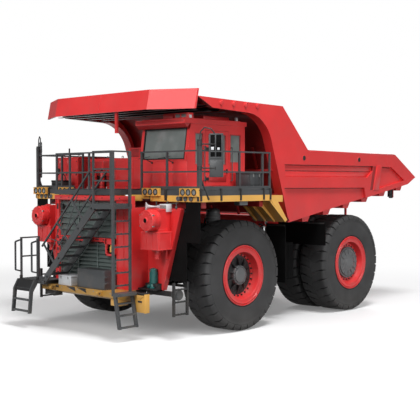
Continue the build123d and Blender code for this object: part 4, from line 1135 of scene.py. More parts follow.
class TRUCK_OT_cab_trim(Maker):
    """Window seals, wipers, gutters, lamp box, grab rails and panel joints of the cab"""

    bl_idname = "truck.cab_trim"
    bl_label = "Cab trim"

    def make(self, scene):
        self.seals(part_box("cab_left")[1].y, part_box("cab_right")[0].y)
        self.screen()
        self.roof()
        self.door(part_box("cab_door"))
        self.front()

    def seals(self, left, right):
        start("window_seals")
        for x0, x1, z0, z1 in ((-0.28, 0.13, 4.6, 5.35), (1.215, 1.5, 4.54, 5.35)):
            add_seal(left, 1, (ahead(x0), z0), (ahead(x1), z1))
        add_seal(right, -1, (ahead(-0.2), 4.6), (ahead(1.45), 5.35))
        settle("shade", "chassis")
        start("door_seal")
        add_seal(left, 1, (ahead(0.32), 4.54), (ahead(1.0), 5.33))
        settle("shade", "door")

    def screen(self):
        """Seal and wipers, laid on the leaning plane of the windscreen."""
        foot, head = spot(1.797, 0, 4.68), spot(1.683, 0, 5.48)
        out = Vector((0.012, 0, 0.0016))
        start("windscreen_seal")
        for y0, y1 in ((0.89, 0.922), (2.478, 2.51)):
            points = [Vector((foot.x - 0.02, y0, foot.z - 0.02)), Vector((head.x - 0.02, y0, head.z + 0.02))]
            points += [points[1] + Vector((0.03, 0, 0)), points[0] + Vector((0.03, 0, 0))]
            prism(points, (0, y1 - y0, 0), 0.004)
        for at in (foot, head):
            block(at.x - 0.02, at.x + 0.01, 0.89, 2.51, *about(at.z, 0.014))
        settle("seal")
        start("wipers")
        for y in (1.3, 2.1):
            base = foot + Vector((0.022, y, -0.1))
            tip = foot.lerp(head, 0.05) + out + Vector((0.018, y - 0.34, 0))
            bar(base, tip, 0.009, 8)
            bar(base - Vector((0.02, 0, 0)), base + Vector((0.015, 0, 0)), 0.024, 16, 0.003)
            for share, along in ((0.02, -0.56), (0.09, -0.1)):
                bar(tip, foot.lerp(head, share) + out + Vector((0.012, y + along, 0)), 0.007, 6)
        settle("chassis")

    def roof(self):
        low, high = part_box("cab_roof")
        start("cab_roof_trim")
        block(low.x + 0.1, high.x - 0.12, low.y + 0.12, high.y - 0.12, high.z - 0.01, high.z + 0.035, 0.03)
        block(high.x - 0.02, high.x + 0.012, low.y + 0.02, high.y - 0.02, low.z - 0.01, low.z + 0.03, 0.006)
        slab(1.2, 1.72, 1.62, 2.02, high.z, high.z + 0.17, 0.025)
        slab(-0.3, 0.75, 1.1, 2.2, high.z + 0.02, high.z + 0.15, 0.03)
        settle("body")
        start("cab_visor")
        under = [(high.x - dx, low.y + 0.01, low.z - dz) for dx, dz in ((0.22, 0), (-0.004, 0), (0.1, 0.11))]
        prism(under, (0, high.y - low.y - 0.02, 0), 0.006)
        block(high.x - 0.16, high.x + 0.006, low.y + 0.03, high.y - 0.03, low.z - 0.01, high.z - 0.02, 0.01)
        settle("shade")
        start("cab_roof_lamps")
        x0, y0, z0 = ahead(1.56), 2.12, high.z
        block(x0, x0 + 0.22, y0, y0 + 0.5, z0, z0 + 0.16, 0.012)
        for y in (y0 + 0.05, y0 + 0.27):
            block(x0 + 0.215, x0 + 0.228, y - 0.008, y + 0.188, z0 + 0.022, z0 + 0.138)
        settle("body")
        start("cab_roof_lenses")
        for y in (y0 + 0.05, y0 + 0.27):
            block(x0 + 0.222, x0 + 0.232, y + 0.006, y + 0.174, z0 + 0.036, z0 + 0.124)
        settle("glass")
        start("beacon")
        dome = ((0, 0), (0, 0.06), (0.03, 0.06), (0.035, 0.045), (0.11, 0.043), (0.13, 0.03), (0.135, 0))
        turned(dome, spot(-0.3, 2.45, high.z), UP, 24)
        slab(1.66, 1.74, 2.63, 2.655, high.z + 0.02, high.z + 0.1, 0.006)
        settle("box")
        start("cooler_grid")
        for x in spaced(ahead(-0.22), 0.11, 9):
            block(x, x + 0.05, 1.16, 2.14, high.z + 0.148, high.z + 0.156, 0.002)
        settle("chassis")

    def door(self, box):
        low, high = box
        y = high.y
        start("door_fittings")
        block(low.x + 0.05, low.x + 0.19, y, y + 0.022, 4.34, 4.38, 0.008)
        block(low.x + 0.06, low.x + 0.1, y, y + 0.035, 4.3, 4.42, 0.008)
        for z in (4.15, 4.95):
            at = Vector((high.x + 0.008, y + 0.014, z))
            bar(at - UP * 0.07, at + UP * 0.07, 0.016, 12, 0.002)
            block(high.x - 0.12, high.x + 0.006, y, y + 0.012, *about(z, 0.04), 0.003)
        settle("chassis", "door")
        start("door_pressing")
        block(low.x + 0.09, high.x - 0.09, y - 0.004, y + 0.008, low.z + 0.1, 4.26, 0.006)
        settle("shade", "door")
        start("cab_grab_rails")
        for x in (low.x - 0.09, high.x + 0.09):
            bar((x, y + 0.06, 4.1), (x, y + 0.06, 5.0), 0.014, 10)
            for z in (4.1, 5.0):
                bar((x, y - 0.002, z), (x, y + 0.06, z), 0.014, 10)
        settle("rails")

    def front(self):
        x = ahead(1.8)
        start("cab_front_panels")
        for y0, y1 in ((0.8, 1.28), (1.3, 1.78), (1.8, 2.08), (2.1, 2.6)):
            block(x - 0.003, x + 0.009, y0, y1, 3.9, 4.6, 0.006)
        settle("body")


# ---- decks and their furniture ----
class TRUCK_OT_mirrors(Maker):
    """Tall mirrors: shell with two channels, silvered glass, arms, clamps and brace"""

    bl_idname = "truck.mirrors"
    bl_label = "Mirrors"

    def make(self, scene):
        middle = spot(1.85, 3.7, 4.74)
        place = Matrix.Translation(middle) @ Matrix.Rotation(radians(32), 4, "Z")
        shell = start("mirror_shell_left")
        block(-0.028, 0.018, -0.18, 0.18, -0.55, 0.55, 0.02)
        for y0, y1 in ((-0.175, -0.145), (-0.03, 0), (0.135, 0.165)):
            block(0.014, 0.034, y0, y1, -0.06, 0.53, 0.005)
        for z in (-0.07, 0.08, 0.51):
            block(0.014, 0.034, -0.175, 0.165, z, z + 0.03, 0.005)
        block(0.014, 0.026, -0.165, 0.155, -0.52, -0.12, 0.006)
        close(shell, "rails")
        channels = start("mirror_channels_left")
        for y0, y1 in ((-0.145, -0.03), (0, 0.135)):
            block(0.012, 0.022, y0, y1, -0.04, 0.08, 0.003)
            block(0.012, 0.022, y0, y1, 0.11, 0.51, 0.003)
            bar((0.02, (y0 + y1) / 2, 0.32), (0.034, (y0 + y1) / 2, 0.32), 0.03, 16, 0.004)
        close(channels, "flap")
        clips = start("mirror_clips_left")
        for y0, y1, high in ((-0.13, -0.06, 0.21), (0.03, 0.09, 0.19)):
            block(0.016, 0.034, y0, y1, 0.13, high, 0.005)
        close(clips, "box")
        glass = start("mirror_glass_left")
        block(-0.034, -0.026, -0.165, 0.165, -0.53, 0.53, 0.003)
        close(glass, "mirror")
        for piece in (shell, channels, clips, glass):
            piece.data.transform(place)
        start("mirror_arms_left")
        post = spot(2.15, 3.4, 0)
        for z in (5.02, 4.42):
            end = spot(1.87, 3.68, z)
            bar(post + UP * z, end, 0.018, 12)
            bar(post + UP * (z - 0.05), post + UP * (z + 0.05), 0.062, 20, 0.006)
            block(end.x - 0.04, end.x + 0.02, end.y - 0.04, end.y + 0.03, *about(z, 0.04), 0.008)
        bar(post + UP * 5.08, post + UP * 5.14, 0.06, 20, 0.008)
        bow = ((0, 0, 5.1), (-0.03, 0.02, 5.34), (-0.1, 0.08, 5.44), (-0.22, 0.2, 5.4), (-0.28, 0.28, 5.27))
        pipe([post + Vector(step) for step in bow], 0.016, 10)
        bar(post + UP * 4.22, spot(1.87, 3.46, 3.62), 0.026, 12)
        block(*about(post.x, 0.07), 3.33, 3.47, 3.85, 3.875)
        settle_pair("chassis")
        fix_pair(channels, "chassis")
        fix_pair(clips, "chassis")
        fix_pair(glass, "chassis")
        for part in fix_pair(shell, "chassis"):
            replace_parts(part, "mirrors")


class TRUCK_OT_deck_trim(Maker):
    """Post feet, kick plates, front clamps, hatch and grab handles of the decks"""

    bl_idname = "truck.deck_trim"
    bl_label = "Deck trim"

    def make(self, scene):
        edge, front = 3.45, ahead(2.2)
        start("post_feet_left")
        for x in (2.15, 1.4, 0.64, -0.3, -0.58):
            at = ahead(x)
            block(*about(at, 0.028), edge - 0.01, edge + 0.026, 3.585, 3.9)
            bar((at, edge + 0.024, 3.66), (at, edge + 0.036, 3.66), 0.014, 6)
        for y in (1.68, 2.24, 2.8, 3.4):
            block(front - 0.01, front + 0.028, *about(y, 0.04), 3.585, 3.88)
        for x in (2.15, 0.64, -0.3, -0.6):
            slab(*about(x, 0.06), 3.34, 3.45, DECK_TOP - 0.002, DECK_TOP + 0.014, 0.003)
        settle_pair("chassis")
        start("kick_plates_left")
        slab(-0.62, 2.12, 3.424, 3.43, DECK_TOP, DECK_TOP + 0.11, 0.002)
        slab(2.166, 2.172, 1.62, 3.36, DECK_TOP, DECK_TOP + 0.11, 0.002)
        for i in range(6):
            x = ahead(-0.55 + 0.45 * i)
            block(x, x + 0.012, 2.66 if i > 1 else 3.28, 3.4, DECK_TOP - 0.001, DECK_TOP + 0.006, 0.002)
        settle_pair("rails")
        start("under_deck_lamp_left")
        slab(0.3, 0.62, 3.2, 3.4, 3.45, 3.565, 0.012)
        settle_pair("hub")
        start("engine_hatch")
        slab(1.25, 2.7, -1.4, 0.66, DECK_TOP - 0.002, DECK_TOP + 0.022, 0.006)
        slab(1.96, 1.99, -1.38, 0.64, DECK_TOP + 0.015, DECK_TOP + 0.03, 0.003)
        for x in (1.4, 2.52):
            for y in (-1.15, 0.35):
                block(ahead(x), ahead(x) + 0.12, y, y + 0.06, DECK_TOP + 0.02, DECK_TOP + 0.034)
        settle("deck")
        start("hatch_grips")
        for x in (1.5, 2.2):
            for y in (-0.8, 0.05):
                foot = spot(x, y, DECK_TOP + 0.02)
                loop = [foot, foot + UP * 0.06, foot + Vector((0.16, 0, 0.06)), foot + Vector((0.16, 0, 0))]
                pipe(loop, 0.009, 8)
        settle("steel")
        self.shelf()

    def shelf(self):
        """Stiffeners under the sloped rear corners of the decks."""
        start("deck_corner_ribs_left")
        for y in (2.45, 2.78, 3.11):
            side_plate(((-0.58, 3.52), (-1.18, 2.99), (-1.16, 2.94), (-0.52, 3.44)), y, 0.02, 0.003)
        slab(-1.12, -0.7, 3.16, 3.452, 3.56, 3.575)
        settle_pair("edging")


class TRUCK_OT_cabinets(Maker):
    """Doors, louvres, latches and lifting eyes of the right deck's cabinets, extinguishers and mast"""

    bl_idname = "truck.cabinets"
    bl_label = "Cabinets"

    def make(self, scene):
        face, top = ahead(1.5), 4.79
        start("cabinet_doors")
        for y0, y1 in ((-3.3, -2.83), (-2.81, -2.34)):
            block(face - 0.004, face + 0.014, y0, y1, 3.93, 4.72, 0.01)
        for x0, x1 in ((-0.5, 0.44), (0.48, 1.46)):
            slab(x0, x1, -3.344, -3.326, 3.93, 4.72, 0.008)
        block(ahead(-0.58), face + 0.02, -3.35, -2.29, top - 0.01, top + 0.02, 0.008)
        for y0, y1 in ((-2.26, -1.66), (-1.62, -1.02), (-0.98, -0.3), (-0.26, 0.44)):
            slab(1.078, 1.094, y0, y1, 3.93, 4.7, 0.008)
        for y in (-0.66, -0.22, 0.22):
            slab(0.898, 0.912, *about(y, 0.02), 4.78, 5.04)
        settle("body")
        start("cabinet_louvres")
        for z in spaced(4.0, 0.045, 6):
            for y0, y1 in ((-2.2, -1.72), (-1.56, -1.08)):
                slab(1.092, 1.102, y0, y1, z, z + 0.014, 0.003)
        for z in spaced(4.8, 0.034, 7):
            slab(0.898, 0.91, -0.6, 0.16, z, z + 0.012, 0.002)
        for y in (-2.86, -2.38):
            block(face + 0.012, face + 0.032, y, y + 0.022, 4.26, 4.38)
        bar((face + 0.01, -3.22, 4.42), (face + 0.05, -3.22, 4.42), 0.065, 20, 0.008)
        for y in (-3.24, -2.36):
            bar((face + 0.01, y, 4.68), (face + 0.02, y, 4.68), 0.016, 6)
        for x in (1.42, 1.16):
            bar(spot(x, -2.312, 4.66), spot(x, -2.3, 4.66), 0.016, 12)
        settle("chassis")
        start("cabinet_eyes")
        for x in (-0.4, 1.34):
            for y in (-3.18, -2.45):
                add_ring(spot(x, y, top + 0.055), ACROSS, 0.036, 0.011, 20, 8)
                bar(spot(x, y, top + 0.015), spot(x, y, top + 0.03), 0.03, 12, 0.003)
        settle("steel")
        start("aerial_mast")
        bar(spot(1.3, -2.98, top), spot(1.3, -2.98, top + 0.3), 0.024, 12)
        bar(spot(1.3, -2.98, top), spot(1.3, -2.98, top + 0.05), 0.045, 16, 0.006)
        settle("chassis")
        start("extinguisher_bay")
        block(ahead(1.09), face - 0.01, -2.314, -2.302, 3.9, 4.74, 0.003)
        for y0, y1 in ((-2.24, -1.68), (-1.6, -1.04)):
            slab(1.088, 1.098, y0, y1, 3.95, 4.68, 0.006)
        settle("shade")
        self.extinguishers(ahead(1.22))
        self.deck_boxes()

    def extinguishers(self, x):
        start("extinguishers")
        for y in (-1.86, -1.52):
            bottle = (
                (0, 0), (0, 0.062), (0.012, 0.075), (0.4, 0.075), (0.46, 0.06), (0.5, 0.03), (0.53, 0.026),
                (0.53, 0),
            )
            turned(bottle, (x, y, DECK_TOP + 0.02), UP, 28)
        settle("body")
        start("extinguisher_heads")
        for y in (-1.86, -1.52):
            z = DECK_TOP + 0.54
            block(*about(x, 0.025), *about(y, 0.03), z, z + 0.05, 0.008)
            block(*about(x, 0.012), y - 0.03, y + 0.12, z + 0.045, z + 0.065, 0.005)
            hose = ((0.02, 0.02), (0.09, -0.02), (0.1, -0.14), (0.085, -0.32))
            pipe([(x + dx, y, z + dz) for dx, dz in hose], 0.011, 10)
            for up in (0.12, 0.36):
                add_ring((x, y, DECK_TOP + up), UP, 0.077, 0.007, 28, 6)
            block(x - 0.13, x - 0.07, *about(y, 0.05), DECK_TOP + 0.1, DECK_TOP + 0.4)
        settle("chassis")

    def deck_boxes(self):
        start("deck_box_lid")
        slab(1.69, 2.01, -2.96, -2.39, 4.06, 4.115, 0.012)
        slab(1.995, 2.012, -2.9, -2.45, 3.9, 4.04, 0.006)
        hoop = []
        for i in range(9):
            turn = pi * i / 8
            hoop.append(spot(1.85, -2.675 - 0.22 * cos(turn), 4.1 + 0.24 * sin(turn)))
        pipe(hoop, 0.016, 10)
        settle("chassis")
        start("locker_trim")
        x0, x1, y0, y1, z1 = ahead(-0.46), ahead(0.06), 2.76, 3.26, 4.32
        block(x0 - 0.01, x1 + 0.01, y0 - 0.01, y1 + 0.01, z1 - 0.03, z1 + 0.012, 0.01)
        block(x0 + 0.03, x1 - 0.03, y1 - 0.002, y1 + 0.012, 3.9, 4.26, 0.008)
        block(x1 - 0.002, x1 + 0.012, y0 + 0.03, y1 - 0.03, 3.9, 4.26, 0.008)
        settle("rails")
        start("locker_latches")
        for x in (x0 + 0.12, x1 - 0.16):
            block(x, x + 0.04, y1 + 0.008, y1 + 0.024, 4.2, 4.29, 0.005)
            bar((x + 0.02, y1 + 0.008, 3.95), (x + 0.02, y1 + 0.02, 3.95), 0.016, 12, 0.003)
        settle("steel")


def on_stair(share):
    """Y and Z of a place on the main stair's slope, from 0 at its foot to 1 at its head."""
    return -1.15 + 2.08 * share, 1.4 + 2.05 * share


class TRUCK_OT_stair_trim(Maker):
    """Nosings and serrated bars of the treads, landing grating, ladder grips and brackets"""

    bl_idname = "truck.stair_trim"
    bl_label = "Stair trim"

    def make(self, scene):
        start("stair_nosings")
        x0, x1 = ahead(3.0), ahead(3.52)
        for i in range(8):
            y, z = on_stair((i + 0.5) / 8)
            block(x0, x1, y - 0.118, y - 0.096, z - 0.026, z + 0.028)
            for back in (-0.05, 0.0, 0.05, 0.09):
                block(x0 + 0.01, x1 - 0.01, y + back, y + back + 0.012, z + 0.016, z + 0.029, 0.002)
        settle("chassis")
        start("platform_grating")
        for x in spaced(ahead(2.93), 0.047, 14):
            block(x, x + 0.014, 0.95, 1.68, 3.498, 3.512, 0.002)
        for y in (1.05, 1.3, 1.55):
            slab(2.93, 3.57, y, y + 0.012, 3.497, 3.508, 0.002)
        for x in spaced(ahead(2.93), 0.036, 17):
            block(x, x + 0.01, -2.32, -1.24, 1.328, 1.342, 0.002)
        for y in (-2.1, -1.8, -1.5):
            slab(2.92, 3.54, y, y + 0.012, 1.327, 1.338, 0.002)
        settle("rails")
        start("stair_brackets")
        for x in (ahead(3.565), ahead(2.955)):
            for y, z in ((-1.08, 1.46), (0.86, 3.38), (0.3, 2.84), (-0.55, 2.0)):
                bar((x - 0.012, y, z), (x + 0.012, y, z), 0.028, 6)
        for y in (-2.325, -1.545):
            slab(3.5, 3.575, *about(y, 0.03), 1.32, 1.42, 0.006)
            bar(spot(3.56, y - 0.045, 1.28), spot(3.56, y + 0.045, 1.28), 0.035, 16, 0.004)
        side_plate(((3.56, 1.33), (3.7, 1.01), (3.78, 1.03), (3.655, 1.33)), -2.32, 0.77, 0.003)
        for z in (1.6, 2.6, 3.6):
            slab(2.94, 2.975, 1.64, 1.72, *about(z, 0.05), 0.006)
        settle("chassis")
        start("ladder_grips")
        for z in spaced(1.4, 0.33, 7):
            for x in (3.04, 3.16, 3.28, 3.4, 3.5):
                block(ahead(x), ahead(x) + 0.014, 1.71, 1.75, z + 0.036, z + 0.05, 0.002)
        for z in (0.66, 0.98, 1.3):
            for x in (2.08, 2.2, 2.32, 2.42):
                block(ahead(x), ahead(x) + 0.012, 2.8, 2.84, z + 0.036, z + 0.048, 0.002)
        settle("rails")
        start("stair_rail_braces")
        x = ahead(3.54)
        for low, high in ((0.06, 0.36), (0.36, 0.06), (0.4, 0.7), (0.7, 0.4)):
            foot, head = Vector((x, *on_stair(low))), Vector((x, *on_stair(high)))
            bar(foot + UP * 0.3, head + UP, 0.012, 8)
        settle("rails")


# ---- bed, canopy and hoists ----
class TRUCK_OT_canopy_trim(Maker):
    """Black sheets under the canopy as painted shade, grey rib flanges as painted highlights, centre seam and
    lifting points of the canopy
    """

    bl_idname = "truck.canopy_trim"
    bl_label = "Canopy trim"

    def make(self, scene):
        start("canopy_lifting_points")
        for x in (1.02, 0.54, 0.05, -0.43):
            for side in BOTH:
                foot = spot(x, side * 3.085, 6.145)
                tip = foot + Vector((0, side * 0.075, 0.05))
                bar(foot, tip, 0.1, 4, 0.006, 0.018)
                bar(tip, tip + Vector((0, side * 0.02, 0.012)), 0.016, 12, 0.003)
        settle("body", "bed")
        under = 6.084
        # Black sheets under the canopy's roof and over its ribs: painted shade.
        start("canopy_lining")
        bays = (
            (-0.06, 0.33, 2.95), (0.42, 0.88, 2.95), (0.97, 1.43, 2.95), (1.52, 1.9, 2.94), (2.07, 2.36, 2.1),
        )
        for x0, x1, half in bays:
            for y0, y1 in ((-half, -0.03), (0.03, half)):
                slab(x0, x1, y0, y1, under - 0.006, under + 0.004)
        for y in (-2.0, -1.0, 0.0, 1.0, 2.0):
            slab(-0.06, 2.44, *about(y, 0.02), under - 0.05, under + 0.002)
        settle("flap", "bed")
        # Grey flanges under the ribs: painted highlights of light caught on the rib facets.
        start("canopy_rib_flanges")
        for x in (0.35, 0.9, 1.45, 2.0):
            slab(x - 0.035, x + 0.085, -2.5, 2.6, under - 0.132, under - 0.118)
        settle("hub", "bed")
        start("canopy_seams")
        lean = ((2.6115, -0.012, 5.95), (2.6115, 0.012, 5.95), (2.503, 0.012, 6.455), (2.503, -0.012, 6.455))
        prism([spot(x, y, z) for x, y, z in lean], (0.004, 0, 0.001), 0.001)
        for y in (-1.55, 1.55):
            slab(-0.05, 2.4, *about(y, 0.012), 6.226, 6.236, 0.003)
        slab(-0.08, -0.02, -2.94, 2.94, 6.224, 6.238)
        settle("body", "bed")


def bed_floor(x):
    """Height of the load floor, which slopes up towards the tail, x ahead of the front axle."""
    return 3.06 + 0.1682 * (-1.96 - x)


class TRUCK_OT_bed_trim(Maker):
    """Lifting holes, liner bars, seams, arch ribs and tail brackets of the bed"""

    bl_idname = "truck.bed_trim"
    bl_label = "Bed trim"

    def make(self, scene):
        self.outside()
        self.inside()
        self.arch()
        self.tail()

    def outside(self):
        out = 3.1
        start("lifting_holes_left")
        for x in (-2.55, -5.39):
            hole = ((-0.03, 0), (-0.03, 0.072), (0.003, 0.072), (0.003, 0))
            turned(hole, spot(x, out, 4.76), ACROSS, 24)
        settle_pair("seal", "bed")
        start("lifting_collars_left")
        for x in (-2.55, -5.39):
            collar = ((-0.02, 0.07), (0.007, 0.073), (0.007, 0.088), (-0.02, 0.096))
            turned(collar, spot(x, out, 4.76), ACROSS, 24)
        for x in (-2.74, -7.0):
            slab(*about(x, 0.006), out - 0.01, out + 0.004, 4.6, 4.95, 0.002)
        slab(-7.45, -2.8, out - 0.09, out + 0.004, 4.935, 4.975, 0.01)
        settle_pair("body", "bed")
        start("side_panels_left")
        rows = (
            [(-1.69, 4.54), (-6.3, 4.54), (-6.12, 4.4), (-1.66, 4.4)],
            [(-1.67, 4.37), (-6.08, 4.37), (-5.92, 4.23), (-1.7, 4.23)],
        )
        for row in rows:
            side_plate(row, out - 0.078, 0.012, 0.004)
        side_plate(((-6.4, 4.58), (-6.68, 4.58), (-6.49, 3.8), (-6.18, 3.8)), out - 0.01, 0.032, 0.007)
        settle_pair("body", "bed")
        # Painted shadows: dark strips under the ledges and along the folds, and a dark wedge on the recess's
        # end wall beside the post.
        start("side_folds_left")
        painted_shadows = (
            (0.01, [(-1.65, 4.566), (-6.36, 4.566), (-6.33, 4.543), (-1.655, 4.543)]),
            (0.008, [(-1.67, 4.4), (-6.12, 4.4), (-6.09, 4.37), (-1.675, 4.37)]),
            (0.008, [(-1.49, 3.896), (-5.69, 3.876), (-5.7, 3.85), (-1.505, 3.87)]),
            (0.089, [(-6.2, 4.566), (-6.37, 4.566), (-6.15, 3.8), (-6.02, 3.8)]),
            (0.01, [(-6.71, 4.555), (-7.29, 4.535), (-7.35, 4.5), (-6.7, 4.515)]),
        )
        for thick, row in painted_shadows:
            side_plate(row, out - 0.085, thick, 0.002)
        settle_pair("deep", "bed")

    def inside(self):
        """Wear bars across the floor and up the sides of the load space."""
        start("liner_bars")
        for x in spaced(-2.25, -0.42, 14):
            z = bed_floor(x)
            slab(x - 0.06, x + 0.06, -2.9, 2.9, z - 0.005, z + 0.022, 0.006)
        settle("steel", "bed")
        start("liner_seams")
        for x in (-3.1, -4.5, -5.9, -7.3):
            for side in BOTH:
                y = side * 2.96
                foot = bed_floor(x) + 0.02
                slab(*about(x, 0.05), *about(y, 0.012), foot, 4.9)
        settle("body", "bed")

    def arch(self):
        """Upright stiffeners on the front wall behind the cab."""
        start("front_wall_ribs")
        for y in (-2.2, -1.1, 0.0, 1.1, 2.2):
            side_plate(((-1.98, 3.1), (-1.31, 5.07), (-1.24, 5.05), (-1.91, 3.08)), y - 0.03, 0.06, 0.005)
        for z in (3.7, 4.4):
            x = -2.03 + (z - 3.06) * 0.3395
            block(ahead(x) + 0.2, ahead(x) + 0.27, -2.9, 2.9, *about(z, 0.03), 0.005)
        settle("shade", "bed")

    def tail(self):
        start("tail_brackets")
        for side in BOTH:
            x, y = ahead(-7.5), side * 2.92
            block(*about(x, 0.09), *about(y, 0.05), 3.56, 3.86, 0.01)
            block(x - 0.05, x - 0.03, *about(y, 0.07), 3.52, 3.84, 0.005)
            bar((x + 0.02, y - 0.075, 3.63), (x + 0.02, y + 0.075, 3.63), 0.03, 16, 0.004)
        settle("chassis", "bed")
        start("tail_bracket_plates")
        for side in BOTH:
            x, y = ahead(-7.5), side * 2.92
            block(x - 0.12, x - 0.088, *about(y, 0.06), 3.54, 3.82, 0.008)
        settle("body", "bed")


class TRUCK_OT_hoist_trim(Maker):
    """Gland rings, wipers, pins and hoses of the tipping cylinders"""

    bl_idname = "truck.hoist_trim"
    bl_label = "Hoist trim"

    def make(self, scene):
        y = 1.11
        foot, eye = spot(-3.25, y, 1.05), spot(-3.05, y, 2.8)
        way = (eye - foot).normalized()
        full = (eye - foot).length
        square = Vector((way.z, 0, -way.x))
        start("barrel_gland_left")
        ring = (
            (-0.09, 0.163), (-0.09, 0.182), (-0.075, 0.19), (-0.015, 0.19), (0, 0.18), (0, 0.138),
            (-0.02, 0.136),
        )
        turned(ring, foot + way * (full - 0.305), way, 48, ACROSS)
        low = ((-0.03, 0.163), (-0.025, 0.18), (0.025, 0.18), (0.03, 0.163))
        turned(low, foot + way * 0.3, way, 48, ACROSS)
        for i in range(8):
            turn = Matrix.Rotation(pi * i / 4, 3, way)
            at = foot + way * (full - 0.395) + turn @ ACROSS * 0.174
            bar(at, at - way * 0.02, 0.014, 6)
        port = foot + way * 0.34 + square * 0.15
        bar(port, port + square * 0.09, 0.035, 16, 0.004)
        settle_pair("chassis", "hoist_left_barrel")
        start("stage_gland_left")
        ring = (
            (-0.05, 0.128), (-0.05, 0.14), (-0.04, 0.146), (-0.006, 0.146), (0.004, 0.138), (0.004, 0.097),
            (-0.02, 0.095),
        )
        turned(ring, foot + way * (full - 0.265), way, 48, ACROSS)
        settle_pair("chassis", "hoist_left_stage")
        start("rod_eye_left")
        for side in (-1, 1):
            face = eye + ACROSS * side * 0.084
            bar(face, face + ACROSS * side * 0.01, 0.085, 32, 0.003)
        turned(
            ((-0.02, 0.088), (-0.015, 0.104), (0.03, 0.104), (0.05, 0.088)), eye - way * 0.15, way, 32,
            ACROSS,
        )
        bar(eye + way * 0.1, eye + way * 0.125, 0.012, 6)
        settle_pair("steel", "hoist_left_rod")
        start("hoist_pins_left")
        for side in (-1, 1):
            plate = eye + ACROSS * side * 0.137
            bar(plate - ACROSS * side * 0.02, plate + ACROSS * side * 0.012, 0.062, 24, 0.004)
            bar(plate, plate + ACROSS * side * 0.02, 0.02, 6)
        settle_pair("steel", "bed")
        start("hoist_foot_caps_left")
        end = foot + ACROSS * 0.19
        bar(end - ACROSS * 0.015, end + ACROSS * 0.012, 0.075, 24, 0.004)
        for i in range(4):
            turn = Matrix.Rotation(pi * i / 2 + pi / 4, 3, ACROSS)
            at = end + turn @ UP * 0.05 + ACROSS * 0.01
            bar(at, at + ACROSS * 0.012, 0.01, 6)
        settle_pair("steel")


# ---- chassis, axles and tanks ----
class TRUCK_OT_strut_trim(Maker):
    """Sleeves, caps, pins and lines of the front struts, and boots of the rear ones"""

    bl_idname = "truck.strut_trim"
    bl_label = "Strut trim"

    def make(self, scene):
        x, y = ahead(0), 1.85
        start("strut_sleeve_left")
        profile = [(2.58, 0.184)]
        for z in spaced(2.6, 0.085, 7):
            profile += [(z, 0.2), (z + 0.03, 0.212), (z + 0.045, 0.212), (z + 0.07, 0.198)]
        profile += [(3.21, 0.19), (3.24, 0.188)]
        turned(profile, (x, y, 0), UP, 40)
        settle_pair("hub")
        start("strut_caps_left")
        turned(
            ((3.24, 0), (3.24, 0.192), (3.26, 0.196), (3.29, 0.19), (3.3, 0.12), (3.33, 0.11), (3.33, 0)),
            (x, y, 0), UP, 40,
        )
        for i in range(8):
            turn = pi * i / 4
            at = Vector((x + 0.15 * cos(turn), y + 0.15 * sin(turn), 3.29))
            bar(at, at + UP * 0.022, 0.016, 6)
        turned(((2.045, 0.153), (2.045, 0.192), (2.09, 0.2), (2.12, 0.2), (2.14, 0.184)), (x, y, 0), UP, 40)
        for z in (2.36, 2.86):
            bar((x - 0.245, 1.7, z), (x + 0.245, 1.7, z), 0.035, 16, 0.005)
        for at in (-0.16, 0.16):
            line = [(x + at, 0.9, 1.62), (x + at, 1.28, 2.02), (x + at, 1.62, 2.72), (x + at, 1.7, 3.05)]
            pipe(line, 0.022, 12)
        settle_pair("chassis")
        start("rear_strut_boot_left")
        foot, head = spot(-5.76, 0.3, 1.65), spot(-6.05, 0.3, 2.33)
        way = (head - foot).normalized()
        rings = []
        for i in range(8):
            rings += [(0.06 + 0.05 * i, 0.114), (0.085 + 0.05 * i, 0.13)]
        turned(rings, foot, way, 32, ACROSS)
        settle_pair("seal")


class TRUCK_OT_knuckle_trim(Maker):
    """Ball-joint caps and bolts of the knuckles, and the tie rod's ends"""

    bl_idname = "truck.knuckle_trim"
    bl_label = "Knuckle trim"

    def make(self, scene):
        x, y = ahead(0), 1.85
        trim = start("knuckle_caps_left")
        turned(((1.1, 0), (1.1, 0.11), (1.12, 0.135), (1.15, 0.15), (1.17, 0.152)), (x, y, 0), UP, 36)
        turned(((1.34, 0.149), (1.36, 0.175), (1.64, 0.175), (1.68, 0.149)), (x, y, 0), UP, 36)
        bar(spot(-0.5, y, 1.13), spot(-0.5, y, 1.175), 0.055, 24, 0.005)
        for i in range(8):
            turn = pi * i / 4
            at = Vector((x + 0.152 * cos(turn), 2.02, 1.515 + 0.152 * sin(turn)))
            bar(at - ACROSS * 0.02, at + ACROSS * 0.02, 0.016, 6)
        turned(((1.975, 0.128), (1.985, 0.175), (2.02, 0.178), (2.03, 0.128)), (x, 0, 1.515), ACROSS, 36)
        close(trim, "chassis")
        fix(copied(trim, "knuckle_caps_right", MIRROR), "right_knuckle")
        fix(trim, "left_knuckle")
        start("tie_rod_ends")
        for side in BOTH:
            at = ahead(-0.5)
            turned(
                ((-0.055, 0), (-0.055, 0.05), (-0.03, 0.068), (0, 0.072), (0.03, 0.066), (0.045, 0.05)),
                (at, side * y, 0.96), UP, 28,
            )
            bar((at, side * (y - 0.12), 0.96), (at, side * (y - 0.34), 0.96), 0.052, 24, 0.006)
            for back in (0.16, 0.28):
                block(*about(at, 0.06), *about(side * (y - back), 0.012), 0.925, 0.995, 0.006)
        settle("chassis", "tie_rod_body")


